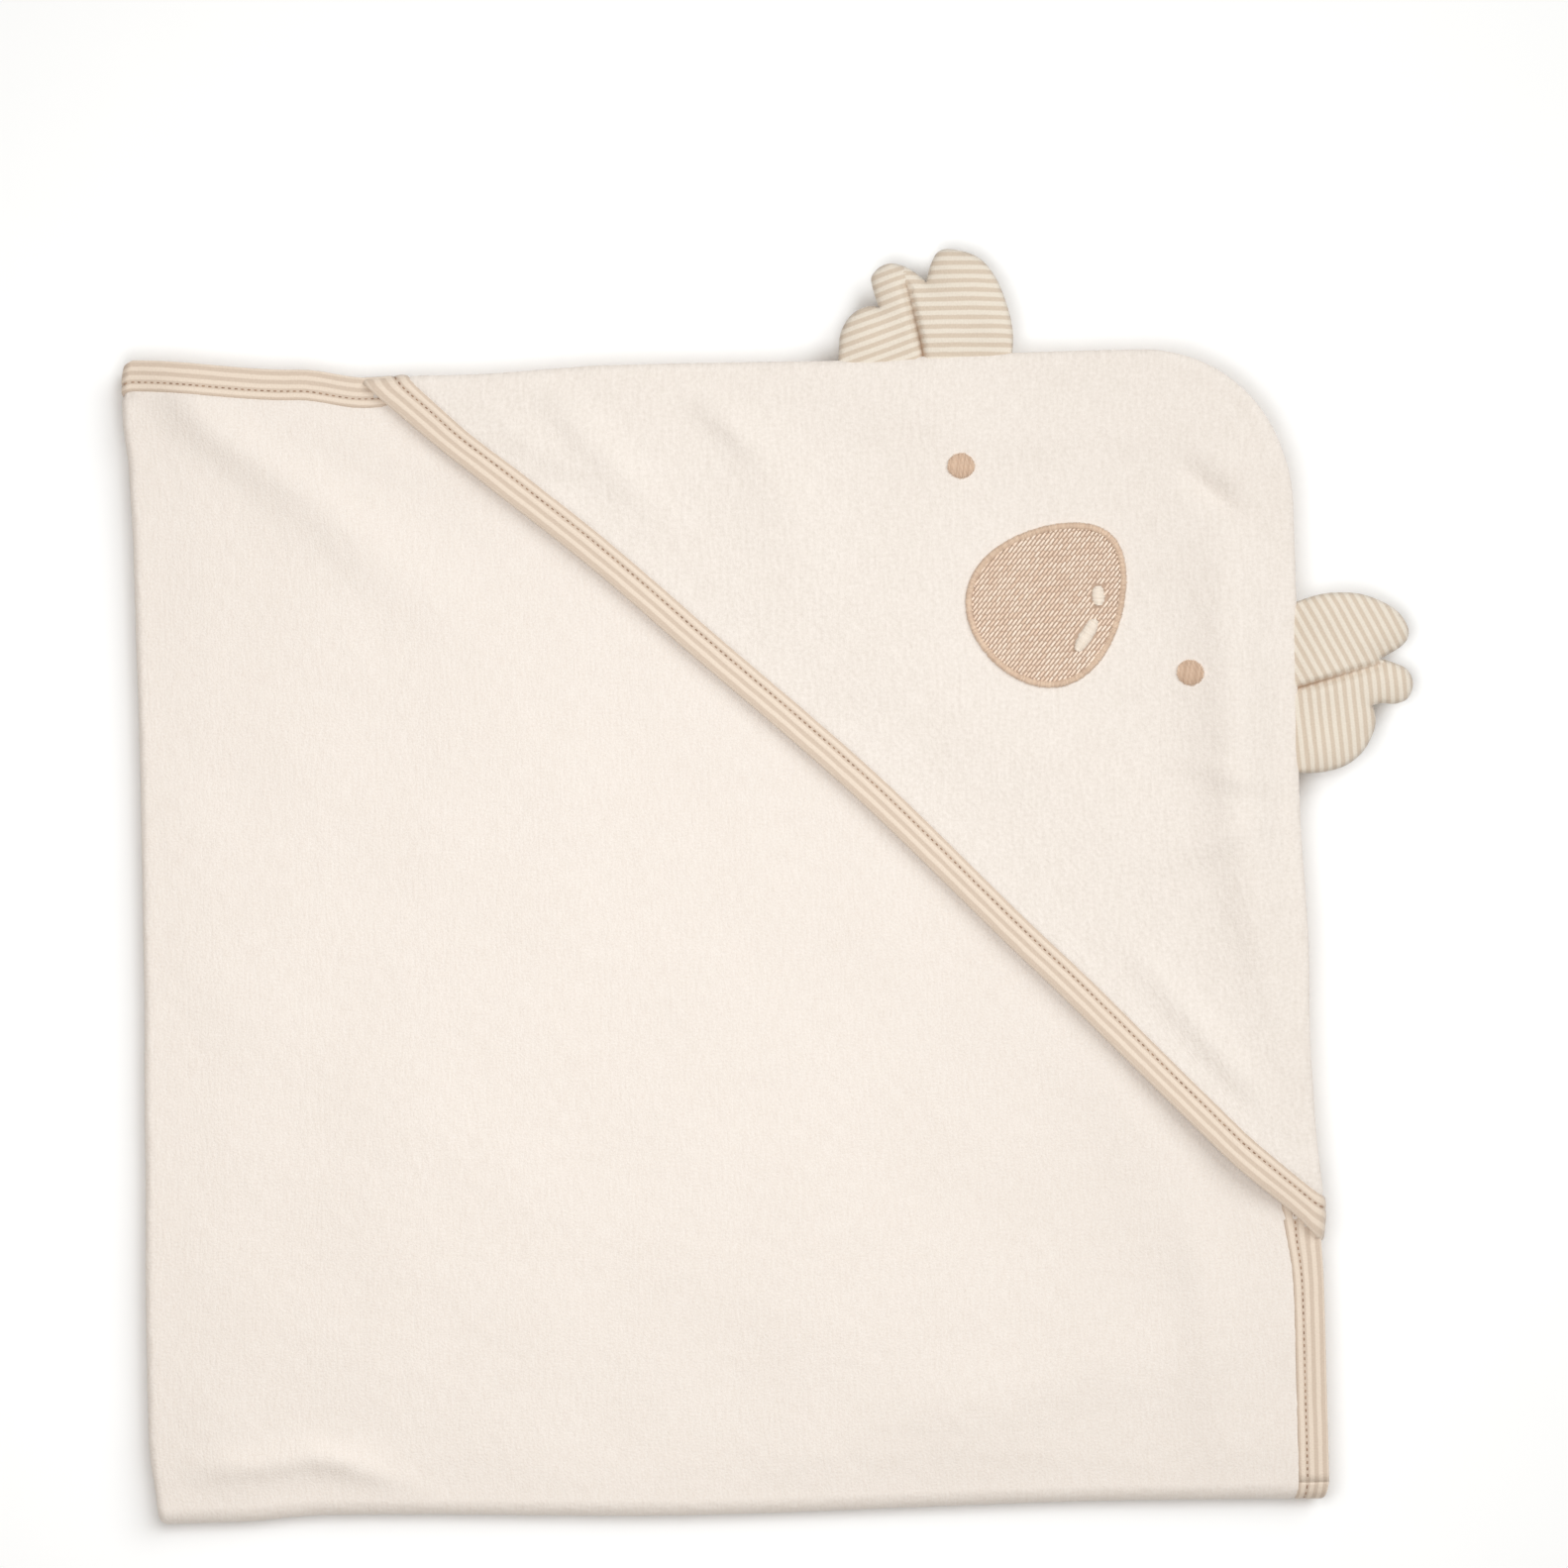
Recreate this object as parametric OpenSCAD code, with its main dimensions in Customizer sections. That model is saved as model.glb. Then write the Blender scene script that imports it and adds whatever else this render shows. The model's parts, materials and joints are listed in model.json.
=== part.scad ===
// Hooded baby towel, folded twice into a square pack and lying on its back.
// The four quarters of the towel lie on each other. The hood lies on the top quarter,
// at the rounded corner, with two stuffed ears sewn into its seam.
// Origin: middle of the underside of the pack. +Z up, +Y towards the top edge.

/* [Pack] */
// Width of the folded pack, fold to bound edge
pack_w = 382; // [340:1:420]
// Height of the folded pack, fold to bound edge
pack_h = 373; // [340:1:420]
// Radius of the towel's rounded corners
corner_r = 50; // [30:1:70]
// Thickness of one layer of terry
cloth_t = 2.6; // [2:0.1:4]
// Air gap between two layers
layer_gap = 0.4; // [0.3:0.05:0.8]
// How far the lower layers are set back from the bound edges
set_back = 5; // [4:0.5:10]

/* [Binding] */
// Width of the striped binding tape on each face
binding_w = 10; // [8:0.5:14]
// Thickness of one ply of the tape
binding_t = 0.7; // [0.4:0.05:0.8]
// Distance from the bound edge to the row of topstitching
stitch_in = 8; // [6:0.25:8.5]

/* [Hood] */
// Length of the hood along the top edge
hood_top = 301; // [240:1:310]
// Length of the hood along the side edge
hood_side = 286; // [240:1:310]
// How far the middle of the hood's lip bows towards the corner
lip_bow = 5.5; // [2:0.5:12]
// How far the hood's seam is set in from the bound edges
seam_in = 3; // [2:0.5:4]

/* [Face] */
// Distance of the nose's middle from both seams
nose_in = 77.5; // [70:0.5:90]
// Length of the nose
nose_l = 56; // [40:1:60]
// Width of the nose
nose_w = 49; // [36:1:54]
// Width of the satin-stitched border of the nose
border_w = 2.6; // [1.5:0.1:4]
// Diameter of an eye
eye_d = 9; // [6:0.5:14]
// Distance of an eye along its seam from the corner
eye_along = 104.5; // [95:0.5:115]
// Distance of an eye from its seam
eye_in = 33.5; // [25:0.5:40]

/* [Ears] */
// Distance of the top ear's middle from the corner
ear_top_along = 121; // [100:1:130]
// Distance of the side ear's middle from the corner
ear_side_along = 109; // [100:1:130]
// Thickness of an ear at its stuffed middle
ear_t = 6.8; // [5:0.2:9]
// Thickness of an ear at its sewn rim
ear_rim_t = 3.2; // [2.4:0.2:4]

/* [Hidden] */
$fn = 72;

cream = [0.96, 0.92, 0.87];
striped = [0.91, 0.84, 0.76];
tan = [0.83, 0.72, 0.62];
white = [0.98, 0.97, 0.94];

pitch = cloth_t + layer_gap;
right = pack_w / 2;
top = pack_h / 2;
small_bend_r = (pitch + cloth_t) / 2;
big_bend_r = (3 * pitch + cloth_t) / 2;
side_axis_x = -right + small_bend_r;
foot_axis_y = -top + big_bend_r;
upper_fold_z = 3 * pitch - layer_gap / 2;
foot_fold_z = 2 * pitch - layer_gap / 2;
lower_fold_z = pitch - layer_gap / 2;
lower_right = right - set_back;
lower_top = top - set_back;
tongue_t = cloth_t - 2 * binding_t;
thread_w = 0.6;
thread_t = 0.25;
fit_gap = 0.05;

hood_gap = 0.8;
hood_z = 3 * pitch + cloth_t + hood_gap;
hood_right = right - seam_in;
hood_top_y = top - seam_in;
hood_corner_r = corner_r - seam_in;
lip_start = [right - hood_top, hood_top_y];
lip_end = [hood_right, top - hood_side];
lip_chord = norm(lip_end - lip_start);
lip_r = (lip_chord * lip_chord / 4 + lip_bow * lip_bow) / (2 * lip_bow);
lip_away = [-(lip_start[1] - lip_end[1]), -(lip_end[0] - lip_start[0])] / lip_chord;
lip_centre = (lip_start + lip_end) / 2 + lip_away * (lip_r - lip_bow);
lip_fn = 1440;
seam_z = hood_z - hood_gap / 2;
seam_w = 4;
embroidery_t = 0.9;
backing_t = 0.3;

ear_axis_out = 0.4 + ear_rim_t / 2;
ear_fn = 24;
ear_skin = 0.7;
// Each lobe of an ear: centre x, centre y, radius, and the base it grows from, left and right
ear_top_lobes = [[11.5, 23.5, 12.4, -1, 27.6], [-9.5, 24, 7.5, -15, 2], [-18.9, 9.5, 8.8, -27.6, -8]];
ear_side_lobes = [[18.4, 26.4, 12.2, 0, 27.6], [0.3, 33.2, 6.6, -8, 6], [-16, 15.5, 11.3, -27.6, -4]];
// Rim to middle: how far in each step of an ear starts, and its share of the full thickness
ear_steps = [[0, 0], [1.2, 0.55], [3, 1]];
ear_thick_from = 6;

// Layer number 1 lies at the bottom and number 4 at the top
function layer_z(layer) = (layer - 1) * pitch;

// An egg with its narrow end up, of length l and width w, centred on its length
function egg(l, w) = [for (a = [0:6:354]) [w / 2 * 0.99 * sin(a) * (1 - 0.25 * cos(a)), l / 2 * cos(a)]];

function oval(l, w) = [for (a = [0:15:345]) [l / 2 * cos(a), w / 2 * sin(a)]];

// A quarter of the towel, from the fold axes to edges inset from x and y, with one round corner
module quarter_2d(x, y, inset) {
    r = corner_r - inset;
    x1 = x - inset;
    y1 = y - inset;
    translate([side_axis_x, foot_axis_y]) square([x1 - r - side_axis_x, y1 - foot_axis_y]);
    translate([side_axis_x, foot_axis_y]) square([x1 - side_axis_x, y1 - r - foot_axis_y]);
    translate([x1 - r, y1 - r]) circle(r);
}

module band_2d(x, y, from, to) {
    difference() {
        quarter_2d(x, y, from);
        quarter_2d(x, y, to);
    }
}

// One quarter's terry: full thickness inside, and a thin tongue under the binding
module quarter_cloth(x, y) {
    linear_extrude(cloth_t) quarter_2d(x, y, binding_w + fit_gap);
    translate([0, 0, binding_t + fit_gap])
        linear_extrude(tongue_t - 2 * fit_gap) quarter_2d(x, y, binding_t + fit_gap);
}

// The thread rows on both faces of a binding
module quarter_thread(x, y, grow = 0) {
    for (z = [0, cloth_t - thread_t - grow])
        translate([0, 0, z]) linear_extrude(thread_t + grow)
            band_2d(x, y, stitch_in - grow, stitch_in + thread_w + grow);
}

// The tape folded over the edge, with a slot for the cloth's tongue
module quarter_tape(x, y) {
    difference() {
        linear_extrude(cloth_t) band_2d(x, y, 0, binding_w);
        translate([0, 0, binding_t]) linear_extrude(tongue_t) quarter_2d(x, y, binding_t);
        quarter_thread(x, y, fit_gap);
    }
}

// The part of the top quarter's edge that the hood doesn't cover
module outside_hood(gap = 0) {
    overlap = 8;
    slab = cloth_t + 2;
    translate([-2 * right, -2 * top, -1])
        cube([2 * right + lip_start[0] + overlap - gap, 4 * top, slab]);
    translate([-2 * right, -2 * top, -1])
        cube([4 * right, 2 * top + lip_end[1] + overlap - gap, slab]);
}

module quarter_hood() {
    color(cream) translate([0, 0, layer_z(4)]) difference() {
        union() {
            quarter_cloth(right, top);
            difference() {
                linear_extrude(cloth_t) quarter_2d(right, top, seam_in);
                outside_hood(-fit_gap);
            }
        }
        difference() {
            translate([0, 0, -1]) linear_extrude(cloth_t + 2) band_2d(right, top, -1, seam_in);
            outside_hood();
        }
    }
}

module quarter_side() {
    color(cream) translate([0, 0, layer_z(3)]) quarter_cloth(lower_right, lower_top);
}

module quarter_opposite() {
    color(cream) translate([0, 0, layer_z(2)]) quarter_cloth(lower_right, lower_top);
}

module quarter_foot() {
    color(cream) translate([0, 0, layer_z(1)]) quarter_cloth(lower_right, lower_top);
}

module edge_binding_hood() {
    color(striped) translate([0, 0, layer_z(4)]) intersection() {
        quarter_tape(right, top);
        outside_hood();
    }
}

module edge_binding(layer) {
    color(striped) translate([0, 0, layer_z(layer)]) quarter_tape(lower_right, lower_top);
}

module edge_topstitch_hood() {
    color(tan) translate([0, 0, layer_z(4)]) intersection() {
        quarter_thread(right, top);
        outside_hood(1);
    }
}

module edge_topstitch(layer) {
    color(tan) translate([0, 0, layer_z(layer)]) quarter_thread(lower_right, lower_top);
}

// Half a tube round the side fold's axis, from y0 to y1, open towards the layers
module side_bend(z, r_in, r_out, y0, y1) {
    translate([side_axis_x, y0, z]) rotate([-90, 0, 0]) difference() {
        cylinder(r = r_out, h = y1 - y0);
        translate([0, 0, -1]) cylinder(r = r_in, h = y1 - y0 + 2);
        translate([-fit_gap, -2 * r_out, -1]) cube([2 * r_out, 4 * r_out, y1 - y0 + 2]);
    }
}

// Half a tube round the foot fold's axis, from x0 to x1, open towards the layers
module foot_bend(r_in, r_out, x0, x1) {
    translate([x0, foot_axis_y, foot_fold_z]) rotate([0, 90, 0]) difference() {
        cylinder(r = r_out, h = x1 - x0);
        translate([0, 0, -1]) cylinder(r = r_in, h = x1 - x0 + 2);
        translate([-2 * r_out, -fit_gap, -1]) cube([4 * r_out, 2 * r_out, x1 - x0 + 2]);
    }
}

// The terry's bend: the whole thickness, then the tongue under the binding at its far end
module side_bend_cloth(z, y1) {
    r = layer_gap / 2;
    color(cream) {
        side_bend(z, r, r + cloth_t, foot_axis_y, y1 - binding_w - fit_gap);
        side_bend(z, r + binding_t + fit_gap, r + cloth_t - binding_t - fit_gap,
            y1 - binding_w - 2 * fit_gap, y1 - binding_t - fit_gap);
    }
}

module side_bend_tape(z, y1) {
    r = layer_gap / 2;
    color(striped) difference() {
        side_bend(z, r, r + cloth_t, y1 - binding_w, y1);
        side_bend(z, r + binding_t, r + cloth_t - binding_t, y1 - binding_w - 1, y1 - binding_t);
    }
}

module foot_bend_cloth(r, x1) {
    color(cream) {
        foot_bend(r, r + cloth_t, side_axis_x, x1 - binding_w - fit_gap);
        foot_bend(r + binding_t + fit_gap, r + cloth_t - binding_t - fit_gap,
            x1 - binding_w - 2 * fit_gap, x1 - binding_t - fit_gap);
    }
}

module foot_bend_tape(r, x1) {
    color(striped) difference() {
        foot_bend(r, r + cloth_t, x1 - binding_w, x1);
        foot_bend(r + binding_t, r + cloth_t - binding_t, x1 - binding_w - 1, x1 - binding_t);
    }
}

// The hood's outline, with its seams moved in by inset and its lip by lip_inset
module hood_2d(inset, lip_inset) {
    r = hood_corner_r - inset;
    x1 = hood_right - inset;
    y1 = hood_top_y - inset;
    difference() {
        union() {
            translate([lip_start[0], lip_end[1]]) square([x1 - r - lip_start[0], y1 - lip_end[1]]);
            translate([lip_start[0], lip_end[1]]) square([x1 - lip_start[0], y1 - r - lip_end[1]]);
            translate([x1 - r, y1 - r]) circle(r);
        }
        translate(lip_centre) circle(lip_r + lip_inset, $fn = lip_fn);
    }
}

module lip_band_2d(from, to) {
    difference() {
        hood_2d(0, from);
        hood_2d(-1, to);
    }
}

module hood_panel() {
    color(cream) translate([0, 0, hood_z]) {
        linear_extrude(cloth_t) hood_2d(0, binding_w + fit_gap);
        translate([0, 0, binding_t + fit_gap])
            linear_extrude(tongue_t - 2 * fit_gap) hood_2d(0, binding_t + fit_gap);
    }
}

module hood_thread(grow = 0) {
    for (z = [0, cloth_t - thread_t - grow])
        translate([0, 0, z]) linear_extrude(thread_t + grow)
            lip_band_2d(stitch_in - grow, stitch_in + thread_w + grow);
}

module hood_binding() {
    color(striped) translate([0, 0, hood_z]) difference() {
        linear_extrude(cloth_t) lip_band_2d(0, binding_w);
        translate([0, 0, binding_t]) linear_extrude(tongue_t) hood_2d(-1, binding_t);
        hood_thread(fit_gap);
    }
}

module hood_topstitch() {
    color(tan) translate([0, 0, hood_z]) hood_thread();
}

// The seam allowance that joins the hood to the top quarter along its two legs
module hood_seam() {
    color(cream) translate([0, 0, layer_z(4) + cloth_t]) linear_extrude(hood_gap - 0.3)
        difference() {
            hood_2d(0, 1);
            hood_2d(seam_w, 0);
        }
}

// Places children drawn with the middle of the nose at the origin and the corner up
module on_face(z) {
    translate([right - nose_in - seam_in, top - nose_in - seam_in, z]) rotate(-45) children();
}

module nose_highlights_2d(grow = 0) {
    translate([11.1, 11.6]) rotate(-45) polygon(oval(5.4 + 2 * grow, 2.8 + 2 * grow));
    translate([17.2, -0.3]) rotate(-75) polygon(oval(11.4 + 2 * grow, 4 + 2 * grow));
}

module nose_fill() {
    color(tan) on_face(hood_z + cloth_t) linear_extrude(embroidery_t) difference() {
        polygon(egg(nose_l - 2 * border_w - 2 * fit_gap, nose_w - 2 * border_w - 2 * fit_gap));
        nose_highlights_2d(fit_gap);
    }
}

module nose_border() {
    color([0.84, 0.73, 0.64]) on_face(hood_z + cloth_t) linear_extrude(embroidery_t + 0.3) difference() {
        polygon(egg(nose_l, nose_w));
        polygon(egg(nose_l - 2 * border_w, nose_w - 2 * border_w));
    }
}

module nose_highlights() {
    color(white) on_face(hood_z + cloth_t) linear_extrude(embroidery_t + 0.1) nose_highlights_2d();
}

module eye() {
    color(tan) cylinder(d = eye_d, h = embroidery_t - 0.1);
}

module eye_top() {
    translate([hood_right - eye_along, hood_top_y - eye_in, hood_z + cloth_t]) eye();
}

module eye_side() {
    translate([hood_right - eye_in, hood_top_y - eye_along, hood_z + cloth_t]) eye();
}

// The cut-away backing under the nose and the eyes, inside the hood
module embroidery_backing() {
    margin = 5;
    strap_w = 6;
    color(white) {
        on_face(hood_z - backing_t) linear_extrude(backing_t) polygon(egg(nose_l + 2 * margin, nose_w + 2 * margin));
        for (p = [[eye_along, eye_in], [eye_in, eye_along]])
            translate([hood_right - p[0], hood_top_y - p[1], hood_z - backing_t])
                cylinder(d = eye_d + 2 * margin, h = backing_t);
    }
}

// An ear's outline, base on the X axis and lobes up, drawn in by inset
module ear_2d(lobes, inset) {
    for (lobe = lobes) hull() {
        translate([lobe[0], lobe[1]]) circle(lobe[2] - inset, $fn = ear_fn);
        translate([lobe[3] + inset, 0]) square([lobe[4] - lobe[3] - 2 * inset, 0.1 + inset]);
    }
}

// Half of an ear's stepped pillow, above its middle plane, drawn in all round by skin
module ear_half(lobes, skin) {
    rim = ear_rim_t / 2;
    full = ear_t / 2;
    for (step = ear_steps) {
        start = step[0] == 0 ? 0 : ear_thick_from;
        linear_extrude(rim + (full - rim) * step[1] - skin) intersection() {
            ear_2d(lobes, step[0] + skin);
            translate([-100, start]) square([200, 100]);
        }
    }
}

module ear_cover(lobes) {
    color(striped) difference() {
        ear_half(lobes, 0);
        translate([0, 0, -fit_gap]) ear_half(lobes, ear_skin);
    }
}

module ear_filling(lobes) {
    color(white) for (side = [0, 1])
        mirror([0, 0, side]) ear_half(lobes, ear_skin + fit_gap);
}

module at_ear_top() {
    translate([right - ear_top_along, hood_top_y + ear_axis_out, seam_z]) children();
}

module at_ear_side() {
    translate([hood_right + ear_axis_out, top - ear_side_along, seam_z]) mirror([1, -1, 0]) children();
}

quarter_hood();
quarter_side();
quarter_opposite();
quarter_foot();
edge_binding_hood();
edge_binding(3);  // edge_binding_side
edge_binding(2);  // edge_binding_opposite
edge_binding(1);  // edge_binding_foot
edge_topstitch_hood();
edge_topstitch(3);  // edge_topstitch_side
edge_topstitch(2);  // edge_topstitch_opposite
edge_topstitch(1);  // edge_topstitch_foot
side_bend_cloth(upper_fold_z, lower_top);  // side_bend_upper
side_bend_cloth(lower_fold_z, lower_top);  // side_bend_lower
foot_bend_cloth(big_bend_r - cloth_t, lower_right);  // foot_bend_outer
foot_bend_cloth(layer_gap / 2, lower_right);  // foot_bend_inner
side_bend_tape(upper_fold_z, lower_top);  // side_bend_upper_binding
side_bend_tape(lower_fold_z, lower_top);  // side_bend_lower_binding
foot_bend_tape(big_bend_r - cloth_t, lower_right);  // foot_bend_outer_binding
foot_bend_tape(layer_gap / 2, lower_right);  // foot_bend_inner_binding
hood_panel();
hood_binding();
hood_topstitch();
hood_seam();
embroidery_backing();
nose_fill();
nose_border();
nose_highlights();
eye_top();
eye_side();
at_ear_top() ear_cover(ear_top_lobes);  // ear_top_front
at_ear_top() mirror([0, 0, 1]) ear_cover(ear_top_lobes);  // ear_top_back
at_ear_top() ear_filling(ear_top_lobes);  // ear_top_filling
at_ear_side() ear_cover(ear_side_lobes);  // ear_side_front
at_ear_side() mirror([0, 0, 1]) ear_cover(ear_side_lobes);  // ear_side_back
at_ear_side() ear_filling(ear_side_lobes);  // ear_side_filling
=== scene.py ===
"""The looks of the folded hooded baby towel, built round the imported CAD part.

Lengths are in millimetres in the part's own frame until mesh() writes them in metres.
The towel's cloth is described flat: s runs across it from the side fold, t runs up it from the
foot fold, and n is the distance out from the middle of the cloth. lay() folds it into the pack.
"""
import json
import math

import bmesh
import bpy
import numpy as np
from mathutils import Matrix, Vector
from mathutils.geometry import delaunay_2d_cdt


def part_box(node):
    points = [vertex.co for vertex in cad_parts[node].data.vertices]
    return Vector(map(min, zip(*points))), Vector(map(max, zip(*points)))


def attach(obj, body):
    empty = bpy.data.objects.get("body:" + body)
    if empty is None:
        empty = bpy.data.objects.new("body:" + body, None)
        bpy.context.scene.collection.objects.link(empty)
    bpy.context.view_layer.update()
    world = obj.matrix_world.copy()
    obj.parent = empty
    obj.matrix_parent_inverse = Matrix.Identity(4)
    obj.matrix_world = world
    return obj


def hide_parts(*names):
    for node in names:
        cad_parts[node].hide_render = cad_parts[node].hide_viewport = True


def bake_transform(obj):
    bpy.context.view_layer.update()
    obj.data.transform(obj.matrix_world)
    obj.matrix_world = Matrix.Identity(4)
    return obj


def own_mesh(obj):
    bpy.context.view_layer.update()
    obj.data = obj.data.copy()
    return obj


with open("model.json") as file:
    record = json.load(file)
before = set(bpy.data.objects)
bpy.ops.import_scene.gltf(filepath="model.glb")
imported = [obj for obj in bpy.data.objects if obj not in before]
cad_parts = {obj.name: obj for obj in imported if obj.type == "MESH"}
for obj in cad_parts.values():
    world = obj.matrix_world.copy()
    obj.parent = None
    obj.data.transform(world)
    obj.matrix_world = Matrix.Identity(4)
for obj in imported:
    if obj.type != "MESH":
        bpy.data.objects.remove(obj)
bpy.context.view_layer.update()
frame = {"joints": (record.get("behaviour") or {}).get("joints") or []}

MM = 0.001
JOINTS = {joint["name"]: [p / MM for p in joint["pos_m"]] for joint in frame["joints"]}


def corners(node):
    """The lowest and highest corners of a CAD node, in millimetres."""
    return [[p / MM for p in corner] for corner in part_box(node)]


# The pack, from the CAD
FOLD_X = JOINTS["side_fold"][0]
FOLD_Y = JOINTS["foot_fold"][1]
MIDDLE_Z = JOINTS["foot_fold"][2]
PAIR_R = JOINTS["side_fold"][2] - MIDDLE_Z
LAYER_R = PAIR_R / 2
STACK_T = 2 * MIDDLE_Z
RIGHT, TOP = corners("edge_binding_hood")[1][:2]
LOWER_OUT = 2.5  # how far the lower layers reach past their CAD edges
LOWER_RIGHT, LOWER_TOP = [edge + LOWER_OUT for edge in corners("edge_binding_side")[1][:2]]
LEFT = corners("side_bend_upper")[0][0]
FOOT = corners("foot_bend_outer")[0][1]
ROLL = math.pi * LAYER_R
FOOT_R = PAIR_R + LAYER_R
HALF_TURN = math.pi * FOOT_R
CORNER_R = 50
HALF_T = 1.2  # half a layer's thickness

# The hood, sewn on SEAM_IN from the towel's edges
SEAM_IN = 2
HOOD_RIGHT = RIGHT - SEAM_IN
HOOD_TOP = TOP - SEAM_IN
HOOD_R = CORNER_R - SEAM_IN
SEAM_Z = JOINTS["ear_top_flex"][2]
TURN = 2.6  # how far in from its seam the hood's cloth has risen to lie flat
LIP_OVER_TOP, LIP_OVER_SIDE = 3, 2.4  # how far the lip's ends pass the CAD tape's
LIP_START = np.array([corners("hood_binding")[0][0] - LIP_OVER_TOP, HOOD_TOP])
LIP_END = np.array([HOOD_RIGHT, corners("hood_binding")[0][1] - LIP_OVER_SIDE])
LIP_BOW = 5.5
HOOD_GAP = 0.5  # the air between the towel and the hood
LIP_CHORD = np.linalg.norm(LIP_END - LIP_START)
LIP_R = (LIP_CHORD**2 / 4 + LIP_BOW**2) / (2 * LIP_BOW)
LIP_AWAY = np.array([LIP_END[1] - LIP_START[1], LIP_START[0] - LIP_END[0]]) / LIP_CHORD
LIP_CENTRE = (LIP_START + LIP_END) / 2 + LIP_AWAY * (LIP_R - LIP_BOW)
LIP_TURNS = [math.atan2(*(end - LIP_CENTRE)[::-1]) for end in (LIP_START, LIP_END)]
HOOD_REST = STACK_T + HALF_T + HOOD_GAP

# The binding and its topstitching
TAPE_W = 10
TAPE_T = 1.55  # half the folded tape's thickness, with the cloth in it
STRIPE = 2.8
STITCH_PITCH = 2.1
STITCH_L, STITCH_W, STITCH_H = 1.2, 0.43, 0.34
STITCH_IN = 7.1
STITCH_SUNK = 0.5

# How the outline wanders: (place along the edge, distance), in from the folds and out from the edges
SIDE_FOLD_IN = [
    (-187, 2.6), (-157, 0), (-126, 0), (-60, 1.1), (-13, 1.9), (60, 2.2), (102, 1.8), (126, 1.6),
    (150, 0.8), (168, -0.9), (178, -0.9), (192, 1),
]
FOOT_FOLD_IN = [(-191, 0.1), (-165, 0.3), (-137, 1.9), (-14, -0.8), (114, 0.8), (191, 0.2)]
TOP_OUT = [
    (-191, 5.6), (-134, 1.3), (-112, -1.8), (-88, -0.4), (-32, 1.5), (42, 0.9), (90, 2.2), (130, 2.4),
    (191, 1),
]
SIDE_OUT = [(-187, 1), (-105, 0.8), (-92, 2), (-21, -0.5), (43, -3), (107, -2.6), (150, -3), (190, -1)]
# Along the lip, 0 at the top seam and 1 at the right one: how far it is drawn out, and raised
LIP_OUT = [(0, 0), (0.1, 1.4), (0.3, 0.6), (0.5, -1.2), (0.7, 1.9), (0.9, 3.2), (1, 0)]
LIP_LIFT = [(0, 0.2), (0.5, 0.2), (0.75, 0.6), (0.92, 3), (1, 0.6)]

# The right edge's dip in where the hood's lip ends: how far, where, and its reach down and up.
# It grows from TUCK_FROM over TUCK_OVER, and eases by TUCK_EASE in the tape, from TUCK_TAPE on.
TUCK_IN, TUCK_Y, TUCK_DOWN, TUCK_UP = 5.9, -84, 17, 14
TUCK_FROM, TUCK_OVER = 110, 70
TUCK_TAPE, TUCK_TAPE_OVER, TUCK_EASE = 182, 9, 0.6

# Soft ridges of the cloth, or dips where the height is negative:
# x, y, direction in degrees, half length, half width, height
TOWEL_RIDGES = [
    (-163, 167, -36, 34, 8, 2.6),
    (-122, 138, -42, 45, 11, 1.9),
    (-120, 165, -20, 45, 8, 1.1),
    (-152, -168, 2, 26, 5, 1.9),
    (-124, -171, -22, 20, 5, 1.7),
    (-90, -60, 70, 90, 34, 1.2),
    (40, -120, -30, 110, 40, 1.3),
    (90, -150, 10, 70, 12, 1.0),
    (-60, 60, -50, 90, 26, 1.1),
    (130, -60, -70, 50, 14, 1.5),
    (152, -122, -88, 42, 8, 1.9),
    (164, 139, -42, 12, 5, -3),
]
HOOD_RIDGES = [
    (-45, 171, -50, 34, 6.5, 3),
    (2, 171, -46, 18, 5, 3.2),
    (-58, 164, -35, 26, 6, 1.6),
    (20, 150, -70, 36, 11, 1.0),
    (60, 90, -45, 110, 26, 1.4),
    (174, 72, -87, 62, 16, 6.5),
    (176, 46, -15, 16, 4, 1.8),
    (168, 30, 20, 20, 5, 1.4),
    (184, 2, -78, 42, 12, 6),
    (184, -34, -72, 34, 6, 2.2),
    (160, -38, -50, 34, 5, 2.2),
    (110, 160, 0, 40, 9, 1.0),
    (45, 178, -8, 38, 9, 3.2),
]


# The pack's swell and its waves, and how far in from the folds they are full
SWELL, SLOW_WAVE, QUICK_WAVE = 0.5, 0.35, 0.16
SIDE_FADE, FOOT_FADE = 26, 20


def smooth(t):
    """0 below 0 and 1 above 1, easing from one to the other."""
    t = np.clip(t, 0, 1)
    return t * t * (3 - 2 * t)


def full_turn(count):
    """Angles right round a circle."""
    return np.linspace(0, 2 * math.pi, count, endpoint=False)


def directions(angles):
    """Unit vectors at some angles from X."""
    return np.stack([np.cos(angles), np.sin(angles)], -1)


def through(knots, at):
    """A smooth curve through (place, value) pairs, level at each of them."""
    place, value = np.array(knots, float).T
    i = np.clip(np.searchsorted(place, at) - 1, 0, len(place) - 2)
    share = smooth((at - place[i]) / (place[i + 1] - place[i]))
    return value[i] + (value[i + 1] - value[i]) * share


def warp(x, y):
    """Moves plan points so that the outline wanders as soft cloth does."""
    across = (x - LEFT) / (RIGHT - LEFT)
    up = (y - FOOT) / (TOP - FOOT)
    in_x = (1 - across) * through(SIDE_FOLD_IN, y) + across * through(SIDE_OUT, y)
    in_y = (1 - up) * through(FOOT_FOLD_IN, x) + up * through(TOP_OUT, x)
    return x + in_x, y + in_y


def ridges(x, y, rows):
    """The height that some ridges add at a point."""
    total = 0
    for middle_x, middle_y, degrees, length, width, height in rows:
        c, s = math.cos(math.radians(degrees)), math.sin(math.radians(degrees))
        along = (x - middle_x) * c + (y - middle_y) * s
        off = (y - middle_y) * c - (x - middle_x) * s
        total = total + height * np.exp(-((along / length) ** 2) - (off / width) ** 2)
    return total


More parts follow.
